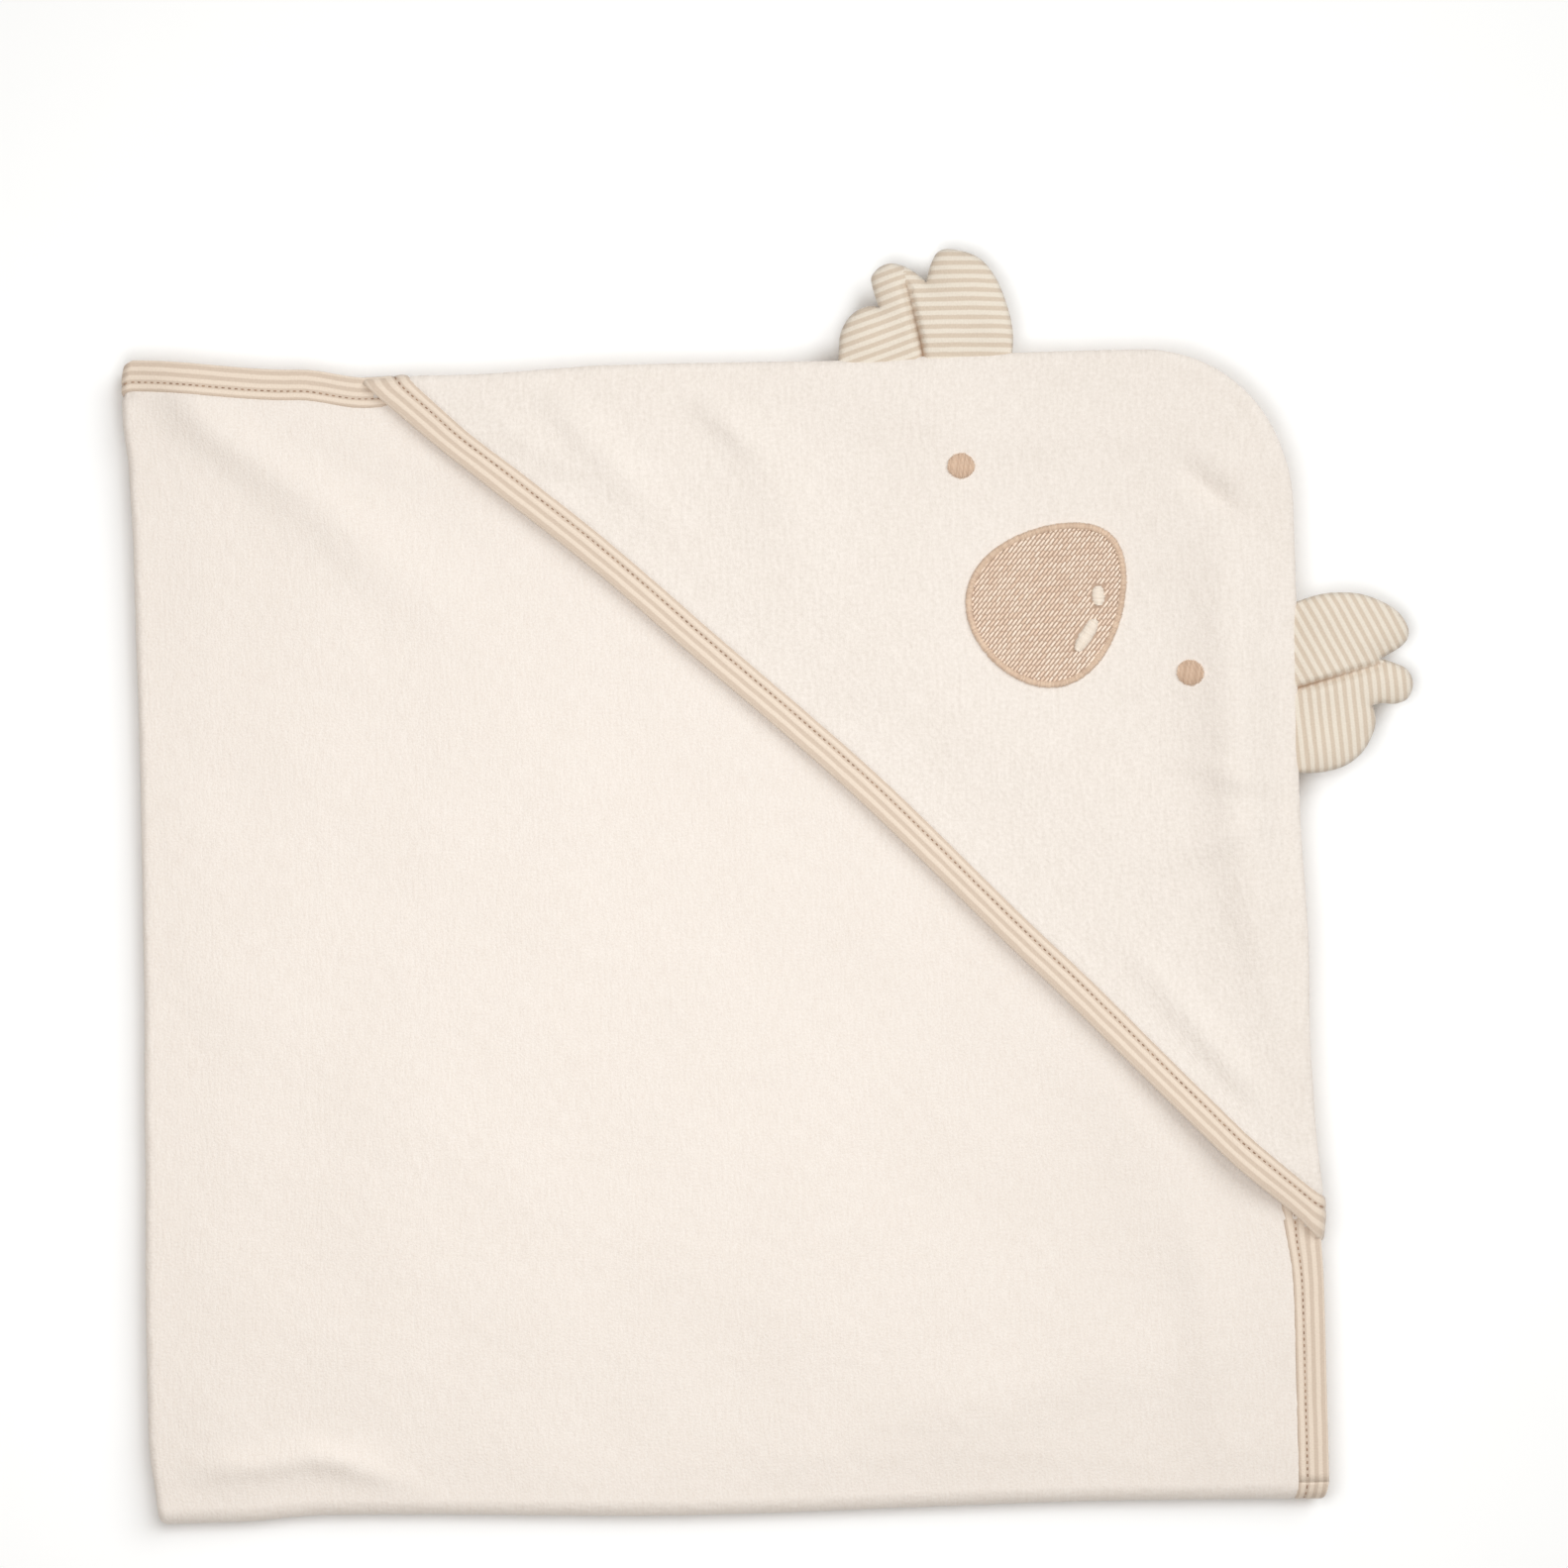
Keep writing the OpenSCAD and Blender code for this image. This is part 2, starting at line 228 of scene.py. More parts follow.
def swell(x, y):
    """How much the top of the pack stands proud, fading out at the folds."""
    slow = np.sin(x / 23 + 1.7 * np.sin(y / 61)) * np.sin(y / 31 + x / 90)
    quick = np.sin(x / 9.5 + y / 17) * np.sin(y / 12.7 - x / 40)
    fade = smooth((x - LEFT) / SIDE_FADE) * smooth((y - FOOT) / FOOT_FADE)
    return fade * (SWELL + SLOW_WAVE * slow + QUICK_WAVE * quick + ridges(x, y, TOWEL_RIDGES))


def lift(x, y, z):
    """Raises a point of the pack with the cloth under it, so that layers never cross."""
    return z * (1 + swell(x, y) / STACK_T)


def lay(s, t, n, upper=True):
    """Folds flat cloth into the upper or lower pair of layers: s > 0 is the pair's outer layer."""
    s, t, n = np.broadcast_arrays(np.asarray(s, float), t, n)
    across = np.maximum(s, 0) + np.maximum(-s - ROLL, 0)
    turn = np.clip(-s / LAYER_R, 0, math.pi)
    x = FOLD_X + across - (LAYER_R + n) * np.sin(turn)
    reach = PAIR_R + (LAYER_R + n) * np.cos(turn)
    bend = np.clip(-t / FOOT_R, 0, math.pi)
    y = FOLD_Y + np.maximum(t, 0) - reach * np.sin(bend)
    height = reach * np.cos(bend)
    z = MIDDLE_Z + (height if upper else -height)
    z = lift(x, y, z)
    x, y = warp(x, y)
    return np.stack([x - tuck(x, y), y, z], -1)


def tuck(x, y):
    """How far a point of the towel is drawn in, beside the lower end of the hood's lip."""
    off = y - TUCK_Y
    near = np.exp(-((off / np.where(off < 0, TUCK_DOWN, TUCK_UP)) ** 2))
    grown = smooth((x - TUCK_FROM) / TUCK_OVER)
    return TUCK_IN * near * grown * (1 - TUCK_EASE * smooth((x - TUCK_TAPE) / TUCK_TAPE_OVER))


def roll_share(s):
    """0 on a pair's outer layer, 1 on its inner layer, and between them round the roll."""
    return np.clip(-s / ROLL, 0, 1)


# ---- mesh making


def mesh(name, points, faces, uv, material, smooth_faces=True):
    """A mesh object from points in millimetres, faces, and a (u, v) in millimetres per point or corner."""
    data = bpy.data.meshes.new(name)
    faces = np.asarray(faces, np.int32)
    size = faces.shape[1]
    data.vertices.add(len(points))
    data.vertices.foreach_set("co", (np.asarray(points, float) * MM).astype(np.float32).ravel())
    data.loops.add(faces.size)
    data.loops.foreach_set("vertex_index", faces.ravel())
    data.polygons.add(len(faces))
    data.polygons.foreach_set("loop_start", np.arange(0, faces.size, size, dtype=np.int32))
    data.polygons.foreach_set("use_smooth", np.full(len(faces), 1) * smooth_faces > 0)
    layer = data.uv_layers.new(name="UVMap")
    uv = np.asarray(uv, float)
    corner_uv = uv if len(uv) == faces.size else uv[faces.ravel()]
    layer.data.foreach_set("uv", (corner_uv * MM).astype(np.float32).ravel())
    data.update(calc_edges=True)
    data.validate()
    data.materials.append(material)
    made = bpy.data.objects.new(name, data)
    bpy.context.scene.collection.objects.link(made)
    return made


def grid_faces(rows, columns, around=False):
    """Quads of a grid of points, closed along its columns if around."""
    row = np.arange(rows - 1)[:, None] * columns
    column = np.arange(columns if around else columns - 1)[None, :]
    after = (column + 1) % columns
    quads = np.stack([row + column, row + after, row + columns + after, row + columns + column], -1)
    return quads.reshape(-1, 4)


def shell_faces(rows, columns):
    """Quads of two grids of points, one over the other, and of the rim between them."""
    top = grid_faces(rows, columns)
    count = rows * columns
    index = np.arange(count).reshape(rows, columns)
    ring = np.concatenate([index[0, :-1], index[:-1, -1], index[-1, :0:-1], index[:0:-1, 0]])
    after = np.roll(ring, -1)
    rim = np.stack([ring, ring + count, after + count, after], -1)
    return np.concatenate([top, top[:, ::-1] + count, rim])


def close_ends(piece):
    """Fills the open ends of a piece."""
    made = bmesh.new()
    made.from_mesh(piece.data)
    bmesh.ops.holes_fill(made, edges=[edge for edge in made.edges if edge.is_boundary], sides=0)
    made.to_mesh(piece.data)
    made.free()


def tube(name, rings, along, across, material):
    """A closed tube from rings of points, its u along it and its v across it."""
    flat = rings.shape[:2]
    uv = np.stack([np.broadcast_to(along, flat), np.broadcast_to(across, flat)], -1)
    faces = grid_faces(*flat, around=True)
    piece = mesh(name, rings.reshape(-1, 3), faces, uv.reshape(-1, 2), material)
    close_ends(piece)
    return piece


def sharpen_rim(piece, rows, columns):
    """Marks the edges of a shell's rim sharp, so that its surfaces are shaded as if they went on."""
    row, column = np.divmod(np.arange(rows * columns), columns)
    ring = (row == 0) | (row == rows - 1) | (column == 0) | (column == columns - 1)
    ends = np.empty(2 * len(piece.data.edges), np.int32)
    piece.data.edges.foreach_get("vertices", ends)
    piece.data.edges.foreach_set("use_edge_sharp", np.tile(ring, 2)[ends].reshape(-1, 2).all(1))


def shell(name, top, bottom, uv, material):
    """Two surfaces joined by a narrow rim, which is shaded flat."""
    rows, columns = top.shape[:2]
    points = np.concatenate([top.reshape(-1, 3), bottom.reshape(-1, 3)])
    both = np.concatenate([uv.reshape(-1, 2)] * 2)
    faces = shell_faces(rows, columns)
    rounded = np.arange(len(faces)) < 2 * (rows - 1) * (columns - 1)
    piece = mesh(name, points, faces, both, material, rounded)
    sharpen_rim(piece, rows, columns)
    return piece


def twice(share):
    """One value per grid point, for both surfaces of a shell."""
    return np.concatenate([np.ravel(share)] * 2)


def hinge_blend(piece):
    """Bakes a piece's placement into its mesh."""
    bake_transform(piece)
    return piece


# ---- materials


def shader(tree, kind, inputs=None, **settings):
    """A shader node, with its sockets linked or set from inputs and its properties from settings."""
    made = tree.nodes.new("ShaderNode" + kind)
    for key, value in settings.items():
        setattr(made, key, value)
    for key, value in (inputs or {}).items():
        if isinstance(value, bpy.types.NodeSocket):
            tree.links.new(value, made.inputs[key])
        else:
            made.inputs[key].default_value = value
    return made


def blank_material(name, roughness, sheen, specular):
    """A material with its surface settings, and its node tree, shader node and UV socket."""
    made = bpy.data.materials.new(name)
    made.use_nodes = True
    tree = made.node_tree
    surface = tree.nodes["Principled BSDF"]
    surface.inputs["Roughness"].default_value = roughness
    surface.inputs["Sheen Weight"].default_value = sheen
    surface.inputs["Sheen Roughness"].default_value = 0.45
    surface.inputs["Specular IOR Level"].default_value = specular
    return made, tree, surface, shader(tree, "UVMap").outputs["UV"]


def stretched(tree, uv, across, along):
    """UV in metres, turned into texture units of across by along millimetres."""
    scale = (1 / (across * MM), 1 / (along * MM), 1)
    return shader(tree, "Mapping", {"Vector": uv, "Scale": scale}).outputs[0]


def noise(tree, vector, detail=2.0, roughness=0.55):
    inputs = {"Vector": vector, "Scale": 1.0, "Detail": detail, "Roughness": roughness}
    return shader(tree, "TexNoise", inputs).outputs["Fac"]


def ramp(tree, value, low, high, low_colour, high_colour):
    made = shader(tree, "ValToRGB", {"Fac": value})
    stops = made.color_ramp.elements
    stops[0].position, stops[1].position = low, high
    stops[0].color, stops[1].color = (*low_colour, 1), (*high_colour, 1)
    return made.outputs["Color"]


def mix(tree, share, first, second, blend_type="MIX"):
    """A mix of two colours, by the Mix node's sockets for colours."""
    inputs = {0: share, 6: first, 7: second}
    return shader(tree, "Mix", inputs, data_type="RGBA", blend_type=blend_type).outputs[2]


def maths(tree, operation, first, second=0.0, third=0.5):
    return shader(tree, "Math", {0: first, 1: second, 2: third}, operation=operation).outputs[0]


def bump(tree, surface, height, distance, strength=1.0):
    inputs = {"Height": height, "Distance": distance * MM, "Strength": strength}
    tree.links.new(shader(tree, "Bump", inputs).outputs["Normal"], surface.inputs["Normal"])


def terry_material(name, dark, light, loop, wale):
    """Looped pile: fine loops, faint upright wales and soft mottling."""
    made, tree, surface, uv = blank_material(name, 0.95, 0.35, 0.1)
    loops = noise(tree, stretched(tree, uv, loop, loop), 3.0, 0.65)
    wales = noise(tree, stretched(tree, uv, wale, wale * 6), 2.0)
    mottle = noise(tree, stretched(tree, uv, 26, 40), 3.0)
    pile = maths(tree, "ADD", maths(tree, "MULTIPLY", loops, 0.65), maths(tree, "MULTIPLY", wales, 0.35))
    colour = ramp(tree, pile, 0.32, 0.62, dark, light)
    shade = ramp(tree, mottle, 0.3, 0.7, (0.985, 0.982, 0.978), (1, 1, 1))
    tree.links.new(mix(tree, 1.0, colour, shade, "MULTIPLY"), surface.inputs["Base Color"])
    bump(tree, surface, pile, 0.6, 0.6)
    return made


def stripe_material(name, dark, light, fold=None):
    """Yarn-dyed knit, with a stripe every STRIPE across v; fold is the colour of the painted shade in a
    pleat.
    """
    made, tree, surface, uv = blank_material(name, 0.85, 0.2, 0.2)
    parts = shader(tree, "SeparateXYZ", {"Vector": uv})
    wander = maths(tree, "MULTIPLY", noise(tree, stretched(tree, uv, 9, 3)), 0.9)
    turn = maths(tree, "MULTIPLY", parts.outputs["Y"], 2 * math.pi / (STRIPE * MM))
    wave = maths(tree, "COSINE", maths(tree, "ADD", turn, maths(tree, "SUBTRACT", wander, 0.45)))
    stripes = ramp(tree, maths(tree, "MULTIPLY_ADD", wave, 0.5, 0.5), 0.28, 0.72, dark, light)
    knit = noise(tree, stretched(tree, uv, 0.55, 0.8), 1.0)
    grain = ramp(tree, knit, 0.3, 0.7, (0.94, 0.93, 0.92), (1, 1, 1))
    colour = mix(tree, 1.0, stripes, grain, "MULTIPLY")
    # Painted shade: where the crease attribute is high, the fold colour darkens the knit as a pleat's shadow
    # would.
    if fold:
        pleat_shade = shader(tree, "Attribute", attribute_name="crease").outputs["Fac"]
        colour = mix(tree, pleat_shade, colour, (*fold, 1))
    tree.links.new(colour, surface.inputs["Base Color"])
    height = maths(tree, "ADD", maths(tree, "MULTIPLY", knit, 0.5), maths(tree, "MULTIPLY", wave, 0.12))
    bump(tree, surface, height, 0.35, 0.7)
    return made


def thread_material(name, dark, light, sheen=0.15):
    """Twisted thread: u is a tone that differs from stitch to stitch, v runs along the stitch."""
    made, tree, surface, uv = blank_material(name, 0.5, sheen, 0.35)
    parts = shader(tree, "SeparateXYZ", {"Vector": uv})
    tone = maths(tree, "MULTIPLY", parts.outputs["X"], 1 / MM)
    tree.links.new(ramp(tree, tone, 0.0, 1.0, dark, light), surface.inputs["Base Color"])
    twist = shader(
        tree, "TexWave", {"Vector": stretched(tree, uv, 4, 0.5), "Scale": 1.0, "Distortion": 1.0},
        bands_direction="DIAGONAL",
    )
    bump(tree, surface, twist.outputs["Fac"], 0.08, 0.6)
    return made


def plain_material(name, dark, light, grain, height, roughness=0.8):
    """A plain surface with a fine grain, by the object's own coordinates."""
    made, tree, surface, _ = blank_material(name, roughness, 0.1, 0.2)
    place = shader(tree, "TexCoord").outputs["Object"]
    specks = noise(tree, stretched(tree, place, grain, grain), 3.0)
    tree.links.new(ramp(tree, specks, 0.3, 0.7, dark, light), surface.inputs["Base Color"])
    bump(tree, surface, specks, height)
    return made


TERRY = terry_material("terry", (0.768, 0.688, 0.622), (0.837, 0.771, 0.713), 0.8, 1.0)
HOOD_TERRY = terry_material("hood_terry", (0.735, 0.667, 0.605), (0.83, 0.763, 0.704), 1.2, 1.3)
STRIPED = stripe_material("striped_knit", (0.637, 0.52, 0.42), (0.785, 0.668, 0.556))
# The ears' knit; its last colour is the painted shade in their pleats.
EAR_KNIT = stripe_material("ear_knit", (0.643, 0.539, 0.433), (0.775, 0.7, 0.6), (0.33, 0.2, 0.12))
TOPSTITCH = thread_material("topstitch", (0.28, 0.16, 0.1), (0.43, 0.27, 0.175))
NOSE_THREAD = thread_material("nose_thread", (0.85, 0.65, 0.505), (0.955, 0.81, 0.675))
BORDER_THREAD = thread_material("border_thread", (0.69, 0.51, 0.38), (0.82, 0.64, 0.49))
EYE_THREAD = thread_material("eye_thread", (0.64, 0.455, 0.325), (0.77, 0.575, 0.43))
# The nose's underlay thread, darkened well below the fill's colour as painted shade in the gaps between the
# fill stitches.
UNDERLAY_PAINTED_SHADE = thread_material("underlay_thread", (0.4, 0.266, 0.18), (0.494, 0.35, 0.257))
WHITE_THREAD = thread_material("highlight_thread", (0.89, 0.79, 0.68), (0.98, 0.89, 0.79))
BACKING = plain_material("backing", (0.8, 0.78, 0.75), (0.92, 0.91, 0.89), 1.5, 0.15)
FLOOR = plain_material("pale_floor", (0.96, 0.96, 0.96), (0.97, 0.97, 0.97), 60, 0.0, 0.9)


# ---- the towel's quarters

DRAWS = np.random.default_rng(7)
FINE_STEP = 1.5  # the grid's step on the top layer, the hood and the foot fold's outer roll
COARSE_STEP = 3
ROLL_STEPS = 12
OUTER_FOOT_ROWS, INNER_FOOT_ROWS = 33, 13
EDGE_IN = 1  # the cloth stops this far inside the fold of its tape
# How far the top layer rises to meet the hood at their seam, and over what width
SEAM_RISE, RISE_OVER = 0.8, 6
# The cloth's share of its thickness: in the tape, just inside it and further in
PRESSED, PLUMP, PLAIN = 0.45, 1.1, 1.0
UNBOUND = 200  # a depth that is well clear of any tape
# The tape goes this far under the hood before the cloth is unbound, over BOUND_FADE
BOUND_PAST, BOUND_FADE = 6, 8
END_BLEND = 6  # over what length an edge changes from bound to hooded, at the lip's ends
TOP_BLEND = 30  # how far down from the top edge the rows follow that change
# How far from the foot fold the pile is full, on the flat and round the roll
CALM_FLAT, CALM_ROLL = 4, 2


def pile(shape, height=0.05):
    """Small uneven heights of the pile, one per grid point."""
    rough = DRAWS.standard_normal(shape)
    rough = (rough + np.roll(rough, 1, 0) + np.roll(rough, 1, 1)) / 1.7
    return np.clip(rough, -2, 2) * height


def rows_up(top, radius, step):
    """Distances up to a top edge, close together where a rounded corner turns."""
    straight = np.arange(0, top - radius, step)
    turn = np.linspace(0, math.pi / 2, int(radius * math.pi / 2 / step))
    return np.concatenate([straight, top - radius + radius * np.sin(turn)])


def corner_edge(t, right, top, radius):
    """How far right an outline with one rounded corner reaches at height t."""
    rise = np.clip(t - (top - radius), 0, radius)
    return right - radius + np.sqrt(radius**2 - rise**2)


def depth_in(x, y, right, top, radius):
    """Distance in from the right edge, the top edge and the rounded corner between them."""
    straight = np.minimum(right - x, top - y)
    round_part = radius - np.hypot(x - (right - radius), y - (top - radius))
    in_corner = (x > right - radius) & (y > top - radius)
    return np.where(in_corner, round_part, straight)


def bullnose(depth, reach=1.7):
    """0 at an edge and 1 from reach inwards, rounding the edge off."""
    return np.sqrt(np.clip(1 - (1 - np.clip(depth / reach, 0, 1)) ** 2, 0.01, 1))


def under_tape(depth):
    """The cloth's share of its thickness: pressed flat under the tape and plump just inside it."""
    past = depth - TAPE_W
    rise, settle = smooth((past + 0.9) / 1.6), smooth((past - 2) / 5)
    return PRESSED + (PLUMP - PRESSED) * rise - (PLUMP - PLAIN) * settle


def lower_depth(x, y):
    """Distance in from the bound edges of the layers under the top one."""
    return depth_in(x, y, LOWER_RIGHT, LOWER_TOP, CORNER_R)


def hooded_depth(x, y):
    """Distance in from the top quarter's bound edges, which end under the hood's tape."""
    from_top = TOP - y + UNBOUND * smooth((x - LIP_START[0] - BOUND_PAST) / BOUND_FADE)
    from_right = RIGHT - x + UNBOUND * smooth((y - LIP_END[1] - BOUND_PAST) / BOUND_FADE)
    return np.minimum(from_top, from_right)


def hood_depth(x, y):
    """Distance in from the hood's seams."""
    return depth_in(x, y, HOOD_RIGHT, HOOD_TOP, HOOD_R)


def roll_columns(rows):
    """The grid's places across the side fold's roll."""
    return np.broadcast_to(-np.linspace(0, ROLL, ROLL_STEPS + 1)[1:], (rows, ROLL_STEPS))


def past_end(distance):
    """0 before an end of the lip and 1 past it."""
    return smooth((distance + END_BLEND / 2) / END_BLEND)


def pair_grid(hooded):
    """Flat positions of a pair of layers, from the outer layer's right edge to the inner one's."""
    lower_edges = (LOWER_RIGHT - EDGE_IN, LOWER_TOP - EDGE_IN, CORNER_R - EDGE_IN)
    outer_right, outer_top, radius = (HOOD_RIGHT, HOOD_TOP, HOOD_R) if hooded else lower_edges
    step = FINE_STEP if hooded else COARSE_STEP
    t = rows_up(outer_top - FOLD_Y, radius, step)[:, None]
    y = FOLD_Y + t
    width = corner_edge(y, outer_right, outer_top, radius) - FOLD_X
    if hooded:
        width = width + (SEAM_IN - EDGE_IN) * (1 - past_end(y - LIP_END[1]))
    outer = width * np.linspace(1, 0, int((outer_right - FOLD_X) / step))
    inner_width = corner_edge(y * lower_edges[1] / outer_top, *lower_edges) - FOLD_X
    inner = -ROLL - inner_width * np.linspace(0, 1, int((LOWER_RIGHT - FOLD_X) / COARSE_STEP))[1:]
    s = np.concatenate([outer, roll_columns(len(t)), inner], 1)
    t = np.broadcast_to(t, s.shape)
    t = t * (1 + ((lower_edges[1] - FOLD_Y) / (outer_top - FOLD_Y) - 1) * roll_share(s))
    if hooded:
        bound = (1 - past_end(FOLD_X + s - LIP_START[0])) * (s > 0)
        t = t + (SEAM_IN - EDGE_IN) * bound * smooth((t + FOLD_Y - HOOD_TOP + TOP_BLEND) / TOP_BLEND)
    return s, t


def towel_pair(name, upper):
    """Two layers of terry and the side fold's roll between them, as one sheet."""
    s, t = pair_grid(upper)
    x, y = FOLD_X + np.abs(s), FOLD_Y + t
    outer_depth = hooded_depth(x, y) if upper else lower_depth(x, y)
    depth = np.where(s > 0, outer_depth, lower_depth(x - ROLL, y))
    share = under_tape(depth)
    if upper:
        hood_edge = (s > 0) & (outer_depth > TAPE_W)
        share = share * np.where(hood_edge, bullnose(hood_depth(x, y)), 1)
    calm = smooth(t / CALM_FLAT)
    top = lay(s, t, HALF_T * share + calm * pile(s.shape), upper)
    bottom = lay(s, t, -HALF_T * share, upper)
    if upper:
        rise = SEAM_RISE * (1 - smooth(hood_depth(x, y) / RISE_OVER)) * hood_edge
        top[..., 2] += rise
        bottom[..., 2] += rise
    piece = shell(name, top, bottom, np.stack([s, t], -1), TERRY)
    if upper:
        hinge_blend(piece)
    else:
        hinge_blend(piece)


def foot_turn(rows):
    """The grid's places round the foot fold, from 0 to 1 and closer together at its ends."""
    turn = np.linspace(0, 1, rows)
    return 0.3 * turn + 0.7 * smooth(turn)


def foot_roll(name, outer):
    """The cloth round the foot fold: of the outer layers and their side roll, or of the inner layers."""
    t = -HALF_TURN * foot_turn(OUTER_FOOT_ROWS if outer else INNER_FOOT_ROWS)[:, None]
    if outer:
        width = RIGHT - EDGE_IN - FOLD_X - smooth(-t / HALF_TURN) * (RIGHT - LOWER_RIGHT)
        flat = width * np.linspace(1, 0, int((RIGHT - FOLD_X) / FINE_STEP))
        s = np.concatenate([flat, roll_columns(len(t))], 1)
        depth = width + EDGE_IN - s
    else:
        across = np.linspace(0, LOWER_RIGHT - EDGE_IN - FOLD_X, int((LOWER_RIGHT - FOLD_X) / COARSE_STEP))
        s = np.broadcast_to(-ROLL - across, (len(t), len(across)))
        depth = LOWER_RIGHT - FOLD_X - np.broadcast_to(across, s.shape)
    t = np.broadcast_to(t, s.shape)
    share = under_tape(depth)
    calm = smooth(-t / CALM_ROLL) * smooth((HALF_TURN + t) / CALM_ROLL)
    top = lay(s, t, HALF_T * share + calm * pile(s.shape))
    bottom = lay(s, t, -HALF_T * share)
    return shell(name, top, bottom, np.stack([s, t], -1), TERRY)


def ride_outer_roll(piece):
    """Puts the foot fold's outer roll on the hood quarter's body, with a mesh of its own."""
    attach(piece, "hood_quarter")
    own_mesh(piece)


towel_pair("towel_upper_layers", True)
towel_pair("towel_lower_layers", False)
ride_outer_roll(foot_roll("foot_roll_outer", True))
foot_inner = foot_roll("foot_roll_inner", False)
hinge_blend(foot_inner)


# ---- the binding and its topstitching

TAPE_IN = 0.5  # half the gap between the tape's two plies
TAPE_NOSE = 1.2  # how far in from its fold the tape is rounded
TAPE_WOBBLE = 0.03
TAPE_PRESS = 0.15
RIB = 0.03  # how far its dark stripes stand proud
GROOVE, GROOVE_W = 0.24, 0.55  # how far the topstitching draws it in, and how wide
EDGE_DROP, EDGE_W = 0.35, 0.8  # how far its cut edge is drawn down, and over what width
WIDTH = RIGHT - FOLD_X
HEIGHT = TOP - FOLD_Y
LOWER_WIDTH = LOWER_RIGHT - FOLD_X
LOWER_HEIGHT = LOWER_TOP - FOLD_Y
TAPE_STEP = 3
ROLL_STEP = 0.4
FOOT_STEP = 0.6


def tape_profile():
    """The folded tape's cross-section as a closed ring: distances in from its fold and out."""
    across = np.linspace(TAPE_W, TAPE_NOSE, 19)
    ribs = RIB * np.cos(across * 2 * math.pi / STRIPE)
    groove = GROOVE * np.exp(-(((across - STITCH_IN) / GROOVE_W) ** 2))
    edge = EDGE_DROP * smooth((across - TAPE_W + EDGE_W) / EDGE_W)
    outside = TAPE_T - TAPE_PRESS + ribs - groove - edge
    turn = np.linspace(math.pi / 2, -math.pi / 2, 9)[1:-1]
    round_d = TAPE_NOSE * (1 - np.cos(turn))
    round_n = outside[-1] * np.sin(turn)
    inside_d = [TAPE_W, 1.5 * TAPE_NOSE, 1.5 * TAPE_NOSE, TAPE_W]
    inside_n = [-TAPE_IN, -TAPE_IN, TAPE_IN, TAPE_IN]
    d = np.concatenate([across, round_d, across[::-1], inside_d])
    n = np.concatenate([outside, round_n, -outside[::-1], inside_n])
    return d, n


def edge_run(first, last, inward, step=TAPE_STEP):
    """Points along a straight edge, with the direction in from it."""
    first, last = np.array(first, float), np.array(last, float)
    count = max(2, int(np.linalg.norm(last - first) / step) + 1)
    points = first + (last - first) * np.linspace(0, 1, count)[:, None]
    return points, np.broadcast_to(np.array(inward, float), points.shape)


def edge_corner(centre, radius, start, end):
    """Points round a corner between two angles in degrees, with the direction in from it."""
    out = directions(np.radians(np.linspace(start, end, 28)))
    return np.array(centre, float) + radius * out, -out


def joined(*runs):
    """Runs end to end, without repeated points."""
    points = np.concatenate([runs[0][0]] + [run[0][1:] for run in runs[1:]])
    inward = np.concatenate([runs[0][1]] + [run[1][1:] for run in runs[1:]])
    return points, inward


def top_edge_run(start, upper):
    """The binding's way along the outer layer's top edge and round the roll into the inner layer's edges."""
    outer_top = HEIGHT if upper else LOWER_HEIGHT
    inner_corner = [-ROLL - LOWER_WIDTH + CORNER_R, LOWER_HEIGHT - CORNER_R]
    return joined(
        edge_run([start, outer_top], [0, outer_top], [0, -1]),
        edge_run([0, outer_top], [-ROLL, LOWER_HEIGHT], [0, -1], ROLL_STEP),
        edge_run([-ROLL, LOWER_HEIGHT], [inner_corner[0], LOWER_HEIGHT], [0, -1]),
        edge_corner(inner_corner, CORNER_R, 90, 180),
        edge_run([-ROLL - LOWER_WIDTH, inner_corner[1]], [-ROLL - LOWER_WIDTH, 0], [1, 0]),
    )


def lower_outer_run():
    corner = [LOWER_WIDTH - CORNER_R, LOWER_HEIGHT - CORNER_R]
    return joined(
        edge_run([LOWER_WIDTH, 0], [LOWER_WIDTH, corner[1]], [-1, 0]),
        edge_corner(corner, CORNER_R, 0, 90),
        top_edge_run(corner[0], False),
    )


def arc_length(points):
    steps = np.linalg.norm(np.diff(points, axis=0), axis=1)
    return np.concatenate([[0], np.cumsum(steps)])


def wobble(count):
    """A tape's uneven thickness, one factor for each of its rings."""
    return 1 + TAPE_WOBBLE * pile((count, 1), 1.0)


def tape(name, run, surface):
    """The knitted tape folded over an edge, as one closed tube; surface places (s, t, n) points."""
    points, inward = run
    d, n = tape_profile()
    flat = points[:, None] + inward[:, None] * d[None, :, None]
    placed = surface(flat[..., 0], flat[..., 1], n * wobble(len(points)))
    piece = tube(name, placed, arc_length(points)[:, None], d, STRIPED)
    return piece, flat[..., 0].ravel(), flat[..., 1].ravel()


THREAD_RING = 6
THREAD_ALONG = np.array([0, 0.12, 0.5, 0.88, 1])
THREAD_FAT = np.array([0.3, 0.85, 1, 0.85, 0.3])
THREAD_RISE = np.array([-0.9, -0.1, 0, -0.1, -0.9])


